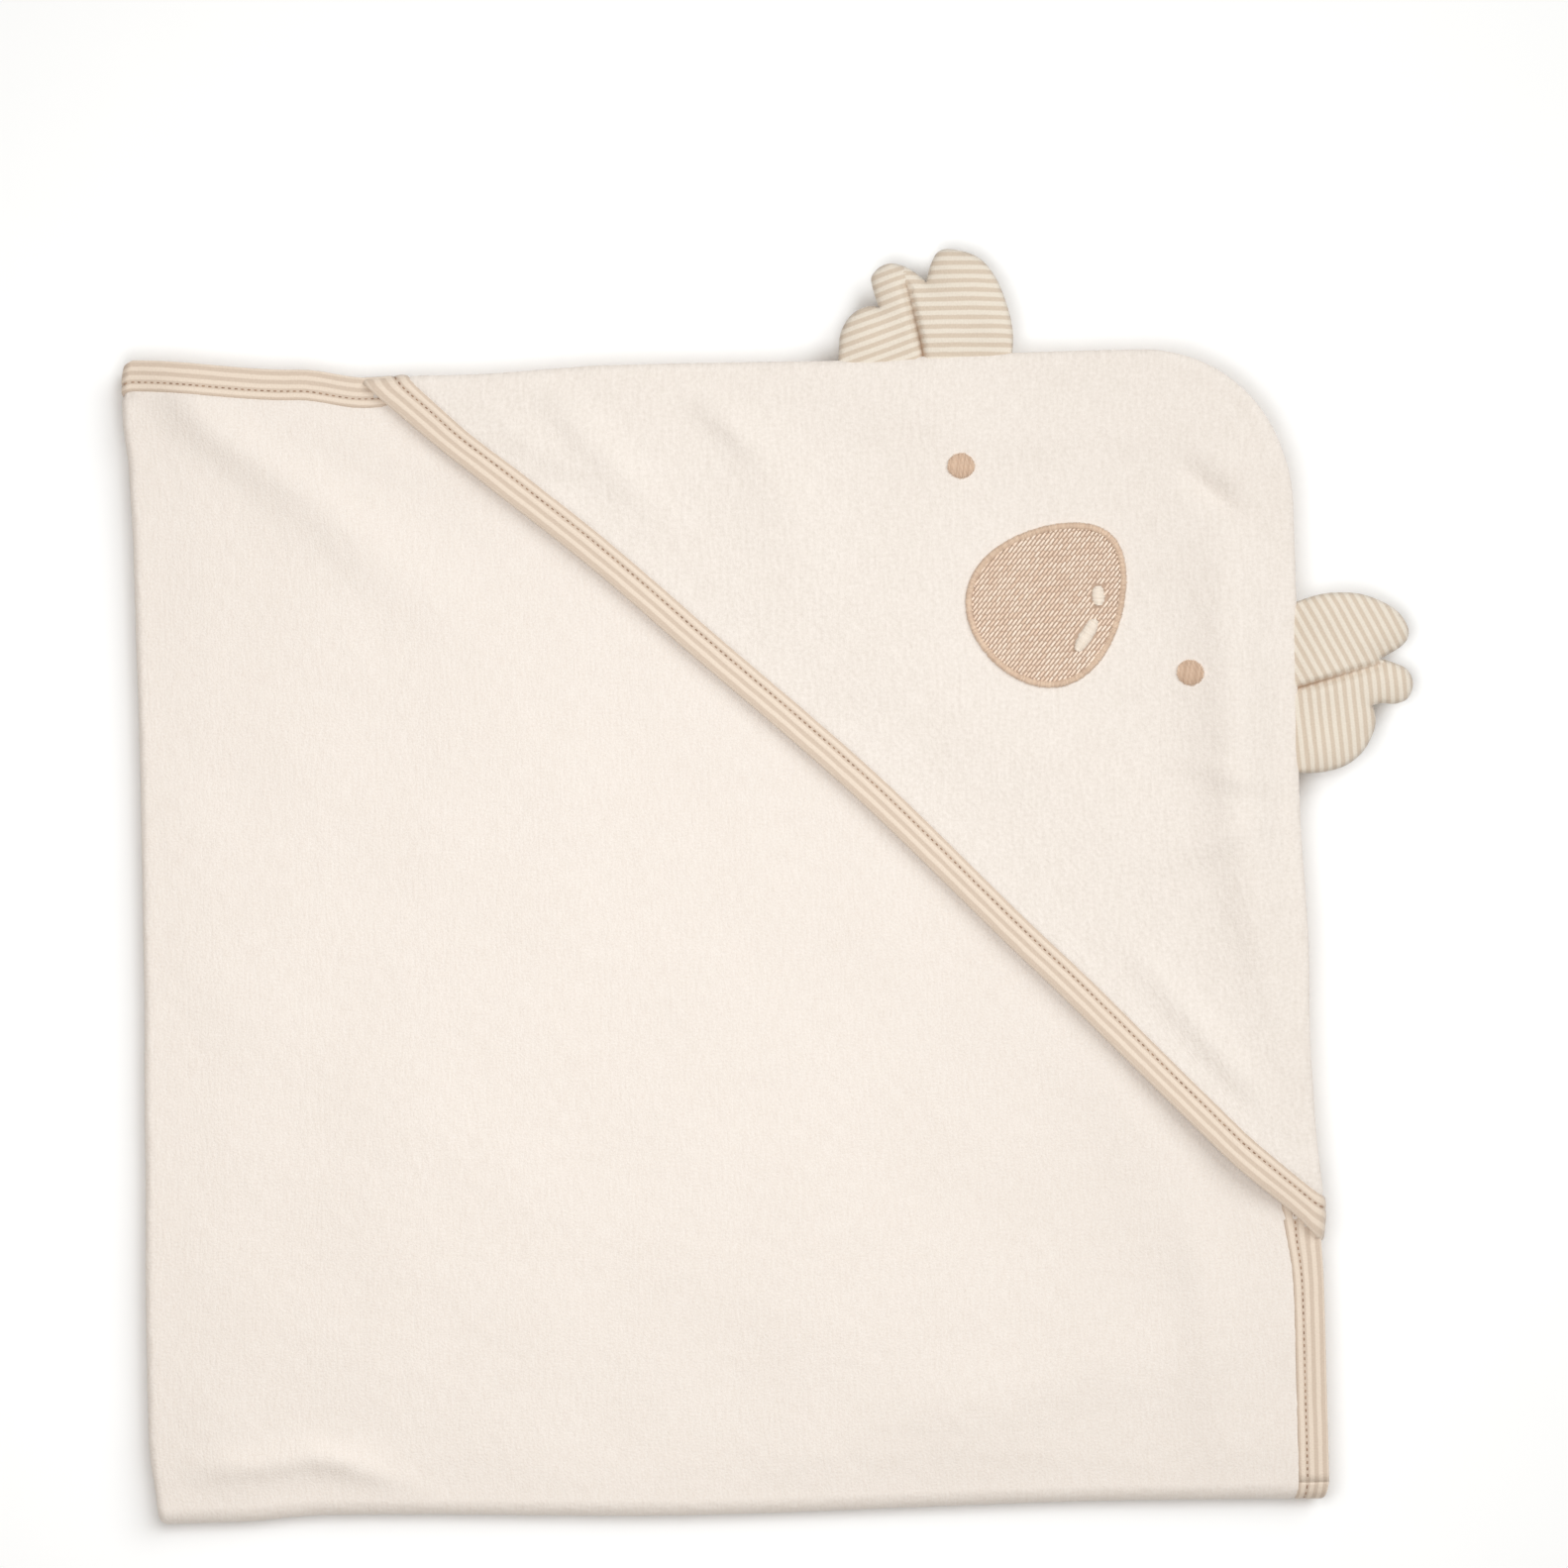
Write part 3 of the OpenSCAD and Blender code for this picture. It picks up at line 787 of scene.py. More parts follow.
def threads(name, starts, ends, surface, base, material, width, height, tones, dip=1.0):
    """Short stitches from starts to ends, each a thin closed strand arched over the surface."""
    starts, ends = np.array(starts, float), np.array(ends, float)
    count, stations = len(starts), len(THREAD_ALONG)
    direction = ends - starts
    length = np.linalg.norm(direction, axis=1)
    side = np.stack([-direction[:, 1], direction[:, 0]], -1) / length[:, None]
    ring = np.arange(THREAD_RING) * 2 * math.pi / THREAD_RING
    middle = starts[:, None] + direction[:, None] * THREAD_ALONG[None, :, None]
    fat = 1 - (1 - THREAD_FAT) * dip
    spread = np.multiply.outer(fat, np.cos(ring)) * width / 2
    flat = middle[:, :, None] + side[:, None, None] * spread[None, :, :, None]
    out = np.multiply.outer(fat, np.sin(ring)) * height / 2 + height * (0.5 + THREAD_RISE[:, None] * dip)
    out = np.broadcast_to(base + out, flat.shape[:3])
    placed = surface(flat[..., 0], flat[..., 1], out)
    walls = grid_faces(stations, THREAD_RING, around=True)
    first = np.array([[3, 2, 1, 0], [5, 4, 3, 0]])
    last = (stations - 1) * THREAD_RING + np.array([[0, 1, 2, 3], [0, 3, 4, 5]])
    one = np.concatenate([walls, first, last])
    faces = (one[None] + np.arange(count)[:, None, None] * stations * THREAD_RING).reshape(-1, 4)
    along = (length[:, None] * THREAD_ALONG)[..., None] * np.ones(THREAD_RING)
    tone = np.broadcast_to(np.reshape(tones, (-1, 1, 1)), along.shape)
    uv = np.stack([tone, along], -1)
    piece = mesh(name, placed.reshape(-1, 3), faces, uv.reshape(-1, 2), material)
    return piece, flat[..., 0].ravel(), flat[..., 1].ravel()


def spots(line, at, places):
    """Points at some lengths along a line, where at is the length up to each of its own points."""
    return np.stack([np.interp(places, at, line[:, k]) for k in (0, 1)], -1)


def stitch_row(run, inset):
    """Starts and ends of the stitches along a run, inset from its edge."""
    points, inward = run
    row = points + inward * inset
    at = arc_length(row)
    places = np.arange(STITCH_L / 2, at[-1] - STITCH_L, STITCH_PITCH)
    return spots(row, at, places), spots(row, at, places + STITCH_L)


def both_faces(name, run, surface):
    """The topstitching of a folded tape, on its face and on its back."""
    starts, ends = stitch_row(run, STITCH_IN)
    tones = DRAWS.random(2 * len(starts))
    side = np.repeat([1, -1], len(starts))[:, None, None]

    def through_both(s, t, n):
        return surface(s, t, n * side)

    return threads(
        name, np.tile(starts, (2, 1)), np.tile(ends, (2, 1)), through_both, TAPE_T - STITCH_SUNK,
        TOPSTITCH, STITCH_W, STITCH_H, tones,
    )


def lower_lay(s, t, n):
    return lay(s, t, n, False)


def bind(label, run, surface, hold):
    """One run's binding and topstitching; hold says what they move with."""
    for make, name in ((tape, "binding_"), (both_faces, "topstitch_")):
        hold(*make(name + label, run, surface))


def hold_upper(piece, s, t):
    hinge_blend(piece)


def hold_lower(piece, s, t):
    hinge_blend(piece)


def hold_inner_foot(piece, s, t):
    hinge_blend(piece)


def hold_outer_foot(piece, s, t):
    ride_outer_roll(piece)


def hold_top(piece, s, t):
    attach(piece, "hood_quarter")


# The top quarter's tapes end this far under the hood, past the ends of its lip
TOP_UNDER, SIDE_UNDER = 9, 15
top_start = LIP_START[0] + TOP_UNDER - FOLD_X
side_start = LIP_END[1] + SIDE_UNDER - FOLD_Y
bind("upper", top_edge_run(top_start, True), lay, hold_upper)
bind("side", edge_run([WIDTH, side_start], [WIDTH, 0], [-1, 0]), lay, hold_top)
bind("lower", lower_outer_run(), lower_lay, hold_lower)
outer_run = edge_run([WIDTH, 0], [LOWER_WIDTH, -HALF_TURN], [-1, 0], FOOT_STEP)
bind("foot_outer", outer_run, lay, hold_outer_foot)
inner_run = edge_run([-ROLL - LOWER_WIDTH, 0], [-ROLL - LOWER_WIDTH, -HALF_TURN], [1, 0], FOOT_STEP)
bind("foot_inner", inner_run, lay, hold_inner_foot)


# ---- the hood

LIP_PAST = 0.9  # how far the lip's tape runs past the hood's seams
LIP_REACH = 16  # how far in from the lip its lift fades
LIP_DRAW = 90  # how far in from the lip it is no longer drawn out
LIFT_FROM, LIFT_OVER = 2, 20  # how far in from the seams that lift starts, and over what width it grows
LIP_STEP = 2.5
LIP_EASE = 0.35  # how much closer together the rings of the lip's tape are at its ends
LOFT, LOFT_OVER = 0.4, 26  # the hood's height over the towel, and how far in it is full
PANEL_IN = 1.2  # the cloth stops this far inside the fold of the lip's tape
PAST_SEAM = 3  # how steeply the hood's cloth goes down past its seams
HOOD_PILE = 0.04
HOOD_END = 14  # the panel's grid closes up over this width at the seams
# The seam's turned-in edges: their width, half their thickness and how far under the seam they lie
SEAM_W, SEAM_HALF, SEAM_DROP = 4, 0.55, 0.35


def from_lip(x, y):
    """Distance in from the hood's lip."""
    return np.hypot(x - LIP_CENTRE[0], y - LIP_CENTRE[1]) - LIP_R


def hood_middle(x, y):
    """The middle of the hood's cloth: a drop at its seamed legs, a raised lip and soft ridges."""
    depth = hood_depth(x, y)
    share = np.clip(depth / TURN, 0, 1)
    drop = np.sqrt(1 - (1 - share) ** 2) + PAST_SEAM * np.minimum(depth, 0)
    inwards = from_lip(x, y)
    loft = smooth(depth / LOFT_OVER) * (LOFT + ridges(x, y, HOOD_RIDGES))
    out_x, out_y = x - LIP_CENTRE[0], y - LIP_CENTRE[1]
    turn = np.arctan2(out_y, out_x) - LIP_TURNS[0]
    turn = np.clip(turn / (LIP_TURNS[1] - LIP_TURNS[0]), 0, 1)
    lifted = through(LIP_LIFT, turn) * np.exp(-((inwards / LIP_REACH) ** 2))
    lip = lifted * smooth((depth - LIFT_FROM) / LIFT_OVER)
    z = SEAM_Z + (HOOD_REST - SEAM_Z) * drop + loft + lip
    z = lift(x, y, z)
    nearer = through(LIP_OUT, turn) * (1 - smooth(inwards / LIP_DRAW))
    x, y = x - out_x * nearer / LIP_R, y - out_y * nearer / LIP_R
    x, y = warp(x, y)
    return np.stack([x, y, z], -1)


def hood(x, y, n):
    """A point of the hood, n out from the middle of its cloth."""
    x, y, n = np.broadcast_arrays(np.asarray(x, float), y, n)
    step = 0.25
    across = hood_middle(x + step, y) - hood_middle(x - step, y)
    up = hood_middle(x, y + step) - hood_middle(x, y - step)
    normal = np.cross(across, up)
    normal = normal / np.linalg.norm(normal, axis=-1, keepdims=True)
    return hood_middle(x, y) + n[..., None] * normal


def hold_hood(piece, x, y):
    hinge_blend(piece)


def hood_panel():
    """The hood's terry, from the lip to the seams."""
    y = FOLD_Y + rows_up(HOOD_TOP - FOLD_Y, HOOD_R, FINE_STEP)
    y = y[y > LIP_END[1] + PANEL_IN][:, None]
    lip_x = LIP_CENTRE[0] + np.sqrt(LIP_R**2 - (y - LIP_CENTRE[1]) ** 2) + PANEL_IN
    edge_x = corner_edge(y, HOOD_RIGHT, HOOD_TOP, HOOD_R)
    across = rows_up(HOOD_RIGHT - LIP_START[0], HOOD_END, FINE_STEP)
    x = lip_x + (edge_x - lip_x) * across / across[-1]
    y = np.broadcast_to(y, x.shape)
    share = under_tape(from_lip(x, y))
    top = hood(x, y, HALF_T * share + pile(x.shape, HOOD_PILE))
    bottom = hood(x, y, -HALF_T * share)
    piece = shell("hood_terry_panel", top, bottom, np.stack([x, y], -1), HOOD_TERRY)
    hold_hood(piece, twice(x), twice(y))


def lip_place(share, d):
    """Plan point along the lip (0 at the top seam, 1 at the right one), d in from the lip."""
    radius = LIP_R + d
    at_top = np.arcsin((HOOD_TOP + LIP_PAST - LIP_CENTRE[1]) / radius)
    at_right = np.arccos((HOOD_RIGHT + LIP_PAST - LIP_CENTRE[0]) / radius)
    turn = at_top + (at_right - at_top) * share
    return LIP_CENTRE[0] + radius * np.cos(turn), LIP_CENTRE[1] + radius * np.sin(turn)


def hood_tape():
    """The tape folded over the hood's lip, with its rings closer together at its ends."""
    d, n = tape_profile()
    share = np.linspace(0, 1, int(LIP_CHORD / LIP_STEP))[:, None]
    eased = 0.5 - 0.5 * np.cos(math.pi * share)
    share = LIP_EASE * eased + (1 - LIP_EASE) * share
    x, y = lip_place(share, d)
    placed = hood(x, y, n * wobble(len(share)))
    hold_hood(tube("hood_lip_tape", placed, LIP_CHORD * share, d, STRIPED), x.ravel(), y.ravel())


def hood_stitches():
    """The topstitching of the lip's tape, along a finely stepped row."""
    row = np.stack(lip_place(np.linspace(0, 1, 400), STITCH_IN), -1)
    hold_hood(*both_faces("hood_lip_stitching", (row, np.zeros_like(row)), hood))


def seam_allowance():
    """The turned-in edges of the seam, between the hood and the towel along the hood's two legs."""
    centre = [HOOD_RIGHT - HOOD_R, HOOD_TOP - HOOD_R]
    points, inward = joined(
        edge_run([HOOD_RIGHT, LIP_END[1] + SEAM_W], [HOOD_RIGHT, centre[1]], [-1, 0]),
        edge_corner(centre, HOOD_R, 0, 90),
        edge_run([centre[0], HOOD_TOP], [LIP_START[0] + SEAM_W, HOOD_TOP], [0, -1]),
    )
    turn = full_turn(12)
    d = LIP_PAST + SEAM_W / 2 - SEAM_W / 2 * np.cos(turn)
    flat = points[:, None] + inward[:, None] * d[None, :, None]
    x, y = flat[..., 0], flat[..., 1]
    z = lift(x, y, SEAM_Z - SEAM_DROP + SEAM_HALF * np.sin(turn) + pile(x.shape))
    warped = np.stack([*warp(x, y), z], -1)
    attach(tube("hood_seam_allowance", warped, arc_length(points)[:, None], d, HOOD_TERRY), "hood_quarter")


hood_panel()
hood_tape()
hood_stitches()
seam_allowance()


# ---- the embroidery

NOSE_L, NOSE_W = 57, 49.9
BORDER_W = 2.3
BORDER_PITCH = 0.45
NOSE_TURN = math.radians(-45)
NOSE_SHIFT = np.array([1.8, 1.9])
EGG_WIDE, EGG_TAPER = 0.99, 0.25
NOSE = np.mean(corners("nose_border"), axis=0)[:2] + NOSE_SHIFT
EYE_R = 4.5
EYE_TURN = math.radians(80)
EYES = {
    "eye_top": np.mean(corners("eye_top"), axis=0)[:2] + [-1.8, -0.5],
    "eye_side": np.mean(corners("eye_side"), axis=0)[:2] + [0.5, 2.3],
}
FILL_TURN = math.radians(50)
FILL_PITCH = 1.1
FILL_LENGTH = 2.6
FILL_SHORTEST = 0.5
FILL_GAP = 0.04  # half the gap between two stitches of a row
STAGGER = 0.38
STAGGER_WANDER, ROW_WANDER = 0.1, 0.05
SATIN_PITCH = 0.42
SATIN_UNEVEN, BORDER_UNEVEN = 0.09, 0.08
# How far the underlays stop inside the stitches' edges, and the fill goes under the border
NOSE_UNDER, EYE_UNDER, FILL_UNDER = 0.6, 0.5, 0.4
# Each kind of thread's width and height, and how far its ends dip into the cloth
FILL_THREAD = (FILL_PITCH * 0.74, 0.6, 0.4)
BORDER_THREAD_SIZE = (0.5, 0.85)
SHINE_THREAD = (0.47, 0.8)
EYE_THREAD_SIZE = (0.5, 0.8)
# The nose's highlights: place from its middle, length, width, direction in degrees
SHINES = [((15, 0.6), 6.4, 4.6, 92), ((10.8, -12), 12, 4.9, 57)]
SHINE_MARGIN = 0.6
OVAL_SQUARE = 2.6  # 2 is an ellipse, and more is squarer
# The embroidery's ground on the hood, the face of its backing, and their thickness
GROUND = HALF_T + 0.1
UNDER = -HALF_T - 0.05
PATCH_T = 0.25
BACKING_OUT = 5  # how far the backing reaches past the stitches
NOSE_RINGS, EYE_RINGS = 10, 5  # the rings of a patch's grid


def turned(points, angle):
    c, s = math.cos(angle), math.sin(angle)
    return np.stack([points[..., 0] * c - points[..., 1] * s, points[..., 0] * s + points[..., 1] * c], -1)


def egg(length, width, at):
    """An egg's outline at angles from its narrow end, centred on its length, its narrow end up."""
    across = width / 2 * EGG_WIDE * np.sin(at) * (1 - EGG_TAPER * np.cos(at))
    return np.stack([across, length / 2 * np.cos(at)], -1)


def nose_outline(inset=0.0):
    flat = egg(NOSE_L - 2 * inset, NOSE_W - 2 * inset, full_turn(180))
    return NOSE + turned(flat, NOSE_TURN)


def circle(centre, radius):
    return np.array(centre) + radius * directions(full_turn(48))


def oval(centre, length, width, degrees):
    """A rounded bar's outline, its long axis at an angle from X."""
    circular = directions(full_turn(40))
    squared = np.sign(circular) * np.abs(circular) ** (2 / OVAL_SQUARE)
    return np.array(centre) + turned(squared * [length / 2, width / 2], math.radians(degrees))


def inside(outline, points):
    """Whether each point is inside a closed outline."""
    x, y = points[..., 0], points[..., 1]
    found = np.zeros(x.shape, bool)
    for (x0, y0), (x1, y1) in zip(outline, np.roll(outline, -1, 0)):
        crosses = (y0 > y) != (y1 > y)
        where = x0 + (x1 - x0) * (y - y0) / (y1 - y0 if y1 != y0 else 1)
        found ^= crosses & (x < where)
    return found


def crossings(outline, offset):
    """Where the level line at an offset enters and leaves an outline."""
    hits = []
    for a, b in zip(outline, np.roll(outline, -1, 0)):
        if (a[1] > offset) != (b[1] > offset):
            hits.append(a[0] + (b[0] - a[0]) * (offset - a[1]) / (b[1] - a[1]))
    return sorted(hits)


def rows_across(outline, angle, pitch):
    """An outline turned level, as its lowest x and each row's offset and crossings."""
    level = turned(outline, -angle)
    offsets = np.arange(level[:, 1].min() + pitch / 2, level[:, 1].max(), pitch)
    return level[:, 0].min(), [(offset, crossings(level, offset)) for offset in offsets]


def fill_stitches(outline, angle, pitch, length):
    """Rows of staggered stitches across an outline, at an angle."""
    low, rows = rows_across(outline, angle, pitch)
    starts, ends = [], []
    for row, (offset, hits) in enumerate(rows):
        first = low - length * ((row * STAGGER + DRAWS.uniform(-STAGGER_WANDER, STAGGER_WANDER)) % 1)
        while first < hits[-1]:
            a, b = max(first, hits[0]), min(first + length, hits[-1])
            if b - a > FILL_SHORTEST:
                wander = DRAWS.normal(0, ROW_WANDER, 2)
                starts.append([a + FILL_GAP, offset + wander[0]])
                ends.append([b - FILL_GAP, offset + wander[1]])
            first += length
    return turned(np.array(starts), angle), turned(np.array(ends), angle)


def satin_stitches(outline, angle, pitch):
    """Side-by-side stitches right across an outline, their ends a little uneven."""
    rows = rows_across(outline, angle, pitch)[1]
    uneven = DRAWS.normal(0, SATIN_UNEVEN, (len(rows), 2))
    starts = [[hits[0] + out[0], offset] for (offset, hits), out in zip(rows, uneven)]
    ends = [[hits[-1] + out[1], offset] for (offset, hits), out in zip(rows, uneven)]
    return turned(np.array(starts), angle), turned(np.array(ends), angle)


def border_stitches(outline, width, pitch):
    """Side-by-side stitches across a border that runs just inside an outline."""
    closed = np.concatenate([outline, outline[:1]])
    at = arc_length(closed)
    points = spots(closed, at, np.linspace(0, at[-1], int(at[-1] / pitch), endpoint=False))
    along = np.roll(points, -1, 0) - np.roll(points, 1, 0)
    inward = np.stack([along[:, 1], -along[:, 0]], -1) / np.linalg.norm(along, axis=1)[:, None]
    if not inside(outline, points[:1] + inward[:1])[0]:
        inward = -inward
    uneven = DRAWS.normal(0, BORDER_UNEVEN, (len(points), 2))
    return points - inward * uneven[:, :1], points + inward * (width + uneven[:, 1:])


def patch(name, outline, n, material, rings=NOSE_RINGS):
    """A thin closed patch on or under the hood, from its outline to its middle."""
    middle = outline.mean(0)
    share = np.linspace(1, 0.02, rings)[:, None, None]
    flat = middle + (outline - middle) * share
    top = hood(flat[..., 0], flat[..., 1], n)
    bottom = hood(flat[..., 0], flat[..., 1], n - PATCH_T)
    count = outline.shape[0]
    faces = grid_faces(rings, count, around=True)
    total = rings * count
    ring = np.arange(count)
    after = (ring + 1) % count
    rim = np.stack([ring, after, after + total, ring + total], -1)
    points = np.concatenate([top.reshape(-1, 3), bottom.reshape(-1, 3)])
    both = np.tile(flat.reshape(-1, 2), (2, 1))
    piece = mesh(name, points, np.concatenate([faces, faces[:, ::-1] + total, rim]), both, material)
    close_ends(piece)
    hold_hood(piece, both[:, 0], both[:, 1])


def embroider(name, stitches, base, material, width, height, dip=1.0):
    """A thread for each stitch, each in a tone of its own."""
    starts, ends = stitches
    tones = DRAWS.random(len(starts))
    hold_hood(*threads(name, starts, ends, hood, base, material, width, height, tones, dip))


def nose():
    # The underlay is real; its dark colour is painted shade showing through the gaps of the fill.
    patch("nose_underlay", nose_outline(NOSE_UNDER), GROUND, UNDERLAY_PAINTED_SHADE)
    starts, ends = fill_stitches(nose_outline(BORDER_W - FILL_UNDER), FILL_TURN, FILL_PITCH, FILL_LENGTH)
    middle = (starts + ends) / 2
    margin = SHINE_MARGIN
    clear = [oval(NOSE + place, long + margin, wide + margin, turn) for place, long, wide, turn in SHINES]
    free = ~np.any([inside(outline, middle) for outline in clear], 0)
    fill = (starts[free], ends[free])
    embroider("nose_fill_threads", fill, GROUND, NOSE_THREAD, *FILL_THREAD)
    border = border_stitches(nose_outline(), BORDER_W, BORDER_PITCH)
    embroider("nose_border_threads", border, GROUND + 0.1, BORDER_THREAD, *BORDER_THREAD_SIZE)
    shines = [
        satin_stitches(oval(NOSE + place, long, wide, turn), math.radians(turn - 90), SATIN_PITCH)
        for place, long, wide, turn in SHINES
    ]
    joined_shines = [np.concatenate(each) for each in zip(*shines)]
    embroider("nose_highlight_threads", joined_shines, GROUND + 0.15, WHITE_THREAD, *SHINE_THREAD)
    patch("nose_backing", nose_outline(-BACKING_OUT), UNDER, BACKING)


def eye(name, place):
    patch(name + "_backing", circle(place, EYE_R + BACKING_OUT), UNDER, BACKING, EYE_RINGS)
    patch(name + "_underlay", circle(place, EYE_R - EYE_UNDER), GROUND, EYE_THREAD, EYE_RINGS)
    stitches = satin_stitches(circle(place, EYE_R), EYE_TURN, SATIN_PITCH)
    embroider(name + "_threads", stitches, GROUND, EYE_THREAD, *EYE_THREAD_SIZE)


nose()
for eye_name, eye_place in EYES.items():
    eye(eye_name, eye_place)


# ---- the ears

EAR_TUCK = 3  # how far an ear reaches into the seam
EAR_GRID = 1.1
EAR_ROW = 0.87 * EAR_GRID
EAR_CLEAR = 0.6  # the grid keeps this far from the outline and the pleat
EAR_HALF = 3.3
EAR_BACK = 0.85  # the back's fullness beside the front's
EAR_RIM = 9
EAR_DROOP = 5
EAR_L = 38
PLEAT_SHADE_W = 0.5  # the width of the painted shade line along the pleat
PLEAT_SHADE_DARK, PLEAT_SHADE_FADE = 0.95, 0.6  # how dark that painted shade is at the base, and how much of it fades upwards
VALLEY = 0.9  # how much of the ear's fullness the pleat takes
STEEP, SLOPING = 0.6, 1.3  # half the width of its groove, right and left of its line
LUMPS = 0.1
BASE_FLAT, BASE_H = 0.42, 12  # its fullness at its base, and how far up that grows to full
# Each ear's lobes from its right to its left, the line of its pleat and how wide that gapes,
# and the turn of the stripes right and left of it, in degrees, and their pitch
EAR_TOP = {
    "lobes": [
        [
            (28.2, 0), (28.2, 9), (26.2, 18), (22.8, 26.4), (17.4, 32.7), (9, 35.7), (4.6, 35), (2.2, 31.2),
            (0.4, 25.4),
        ],
        [
            (0.4, 25.4), (-3.2, 28.7), (-6.8, 31), (-10.8, 32.2), (-14.5, 31.2), (-17.3, 28.3), (-17.2, 25),
            (-15.4, 18.2),
        ],
        [(-15.4, 18.2), (-18.4, 18.6), (-22.2, 17.4), (-25.8, 14.2), (-28, 9.6), (-28.5, 5), (-28.5, 0)],
    ],
    "pleat": [(0, -EAR_TUCK), (-5.7, 24.3)],
    "gap": 0.4,
    "stripes": (-2, 17),
    "pitch": 2.97,
}
EAR_SIDE = {
    "lobes": [
        [(26.4, 0), (28.8, 8), (29.5, 15), (28.5, 24), (23.7, 34), (17.2, 38.4), (12.4, 36.7), (7.8, 29)],
        [(7.8, 29), (6.6, 32.8), (4.3, 37.6), (-0.2, 39.7), (-5.1, 38), (-6.9, 33.6), (-6.6, 29), (-7.4, 26)],
        [(-7.4, 26), (-11.9, 27), (-17.2, 25.6), (-22.7, 22), (-26.8, 16), (-28.6, 8), (-28.6, 0)],
    ],
    "pleat": [(-2.2, -EAR_TUCK), (6.2, 28.4)],
    "gap": 0.4,
    "stripes": (-27.8, -5.7),
    "pitch": 2.9,
}


def lobe_curve(points):
    """A smooth curve through a lobe's points."""
    points = np.array(points, float)
    padded = np.concatenate([2 * points[:1] - points[1:2], points, 2 * points[-1:] - points[-2:-1]])
    curve = []
    for a, b, c, d in zip(padded, padded[1:], padded[2:], padded[3:]):
        count = max(2, int(np.linalg.norm(c - b) / EAR_GRID))
        for u in np.arange(count) / count:
            curve.append(b + 0.5 * u * (c - a + u * (2 * a - 5 * b + 4 * c - d + u * (3 * (b - c) + d - a))))
    return np.array(curve)


def ear_outline(lobes):
    """An ear's outline, with its straight base tucked into the seam."""
    curves = np.concatenate([lobe_curve(lobe) for lobe in lobes] + [np.array(lobes[-1][-1:], float)])
    left, right = curves[-1, 0], curves[0, 0]
    base = np.linspace(left, right, int((right - left) / EAR_GRID))
    tucked = np.stack([base, np.full(len(base), -EAR_TUCK)], -1)
    return np.concatenate([curves, tucked])


def distance_to(lines, points):
    """Distance from each point to the nearest of some segments."""
    best = np.full(len(points), 1e9)
    for a, b in lines:
        a, b = np.array(a, float), np.array(b, float)
        along = np.clip(((points - a) @ (b - a)) / ((b - a) @ (b - a)), 0, 1)
        best = np.minimum(best, np.linalg.norm(points - a - along[:, None] * (b - a), axis=1))
    return best


def ear_net(shape):
    """An ear's flat outline filled with triangles whose edges follow the pleat."""
    outline = ear_outline(shape["lobes"])
    low, high = outline.min(0), outline.max(0)
    x, y = np.meshgrid(np.arange(low[0], high[0], EAR_GRID), np.arange(low[1], high[1], EAR_ROW))
    x = x + (np.arange(len(x)) % 2)[:, None] * EAR_GRID / 2
    points = np.stack([x.ravel(), y.ravel()], -1)
    pleat = np.array(shape["pleat"], float)
    rim = list(zip(outline, np.roll(outline, -1, 0)))
    clear = distance_to([*rim, pleat], points) > EAR_CLEAR
    points = points[inside(outline, points) & clear]
    steps = int(np.linalg.norm(pleat[1] - pleat[0]) / EAR_GRID)
    fold = pleat[0] + (pleat[1] - pleat[0]) * np.linspace(0.002, 1, steps)[:, None]
    count = len(outline)
    edges = [(i, (i + 1) % count) for i in range(count)]
    edges += [(count + i, count + i + 1) for i in range(steps - 1)]
    every = [Vector(p) for p in np.concatenate([outline, fold, points])]
    flat, _, faces, *_ = delaunay_2d_cdt(every, edges, [], 1, 1e-4)
    flat = np.array([list(p) for p in flat])
    return flat, np.array([face for face in faces if len(face) == 3]), rim, pleat


def right_of(pleat, points):
    """Distance right of the pleat's line."""
    along = (pleat[1] - pleat[0]) / np.linalg.norm(pleat[1] - pleat[0])
    return (points[..., 0] - pleat[0, 0]) * along[1] - (points[..., 1] - pleat[0, 1]) * along[0]


def puffed(flat, rim, pleat, gap):
    """Heights of an ear's front over its middle plane."""
    outer = [line for line in rim if line[0][1] > -EAR_TUCK + 0.1 or line[1][1] > -EAR_TUCK + 0.1]
    edge = distance_to(outer, flat)
    share = np.sqrt(np.clip(1 - (1 - np.clip(edge / EAR_RIM, 0, 1)) ** 2, 0, 1))
    flatten = BASE_FLAT + (1 - BASE_FLAT) * smooth((flat[:, 1] + EAR_TUCK) / BASE_H)
    crease = distance_to([pleat], flat)
    width = np.where(right_of(pleat, flat) > 0, STEEP + gap / 2, SLOPING + gap)
    valley = 1 - VALLEY * np.exp(-((crease / width) ** 2))
    lumps = 1 + LUMPS * np.sin(flat[:, 0] / 3.7 + 1) * np.sin(flat[:, 1] / 5.1)
    return EAR_HALF * share * flatten * valley * lumps


def place_ear(flat, height, side):
    """An ear's flat points and heights, placed at the hood's top seam or side seam."""
    height = height - EAR_DROOP * (np.maximum(flat[:, 1], 0) / EAR_L) ** 2
    if side:
        x, y = HOOD_RIGHT + flat[:, 1], JOINTS["ear_side_flex"][1] + flat[:, 0]
    else:
        x, y = JOINTS["ear_top_flex"][0] + flat[:, 0], HOOD_TOP + flat[:, 1]
    z = lift(x, y, SEAM_Z + height)
    x, y = warp(x, y)
    return np.stack([x, y, z], -1)


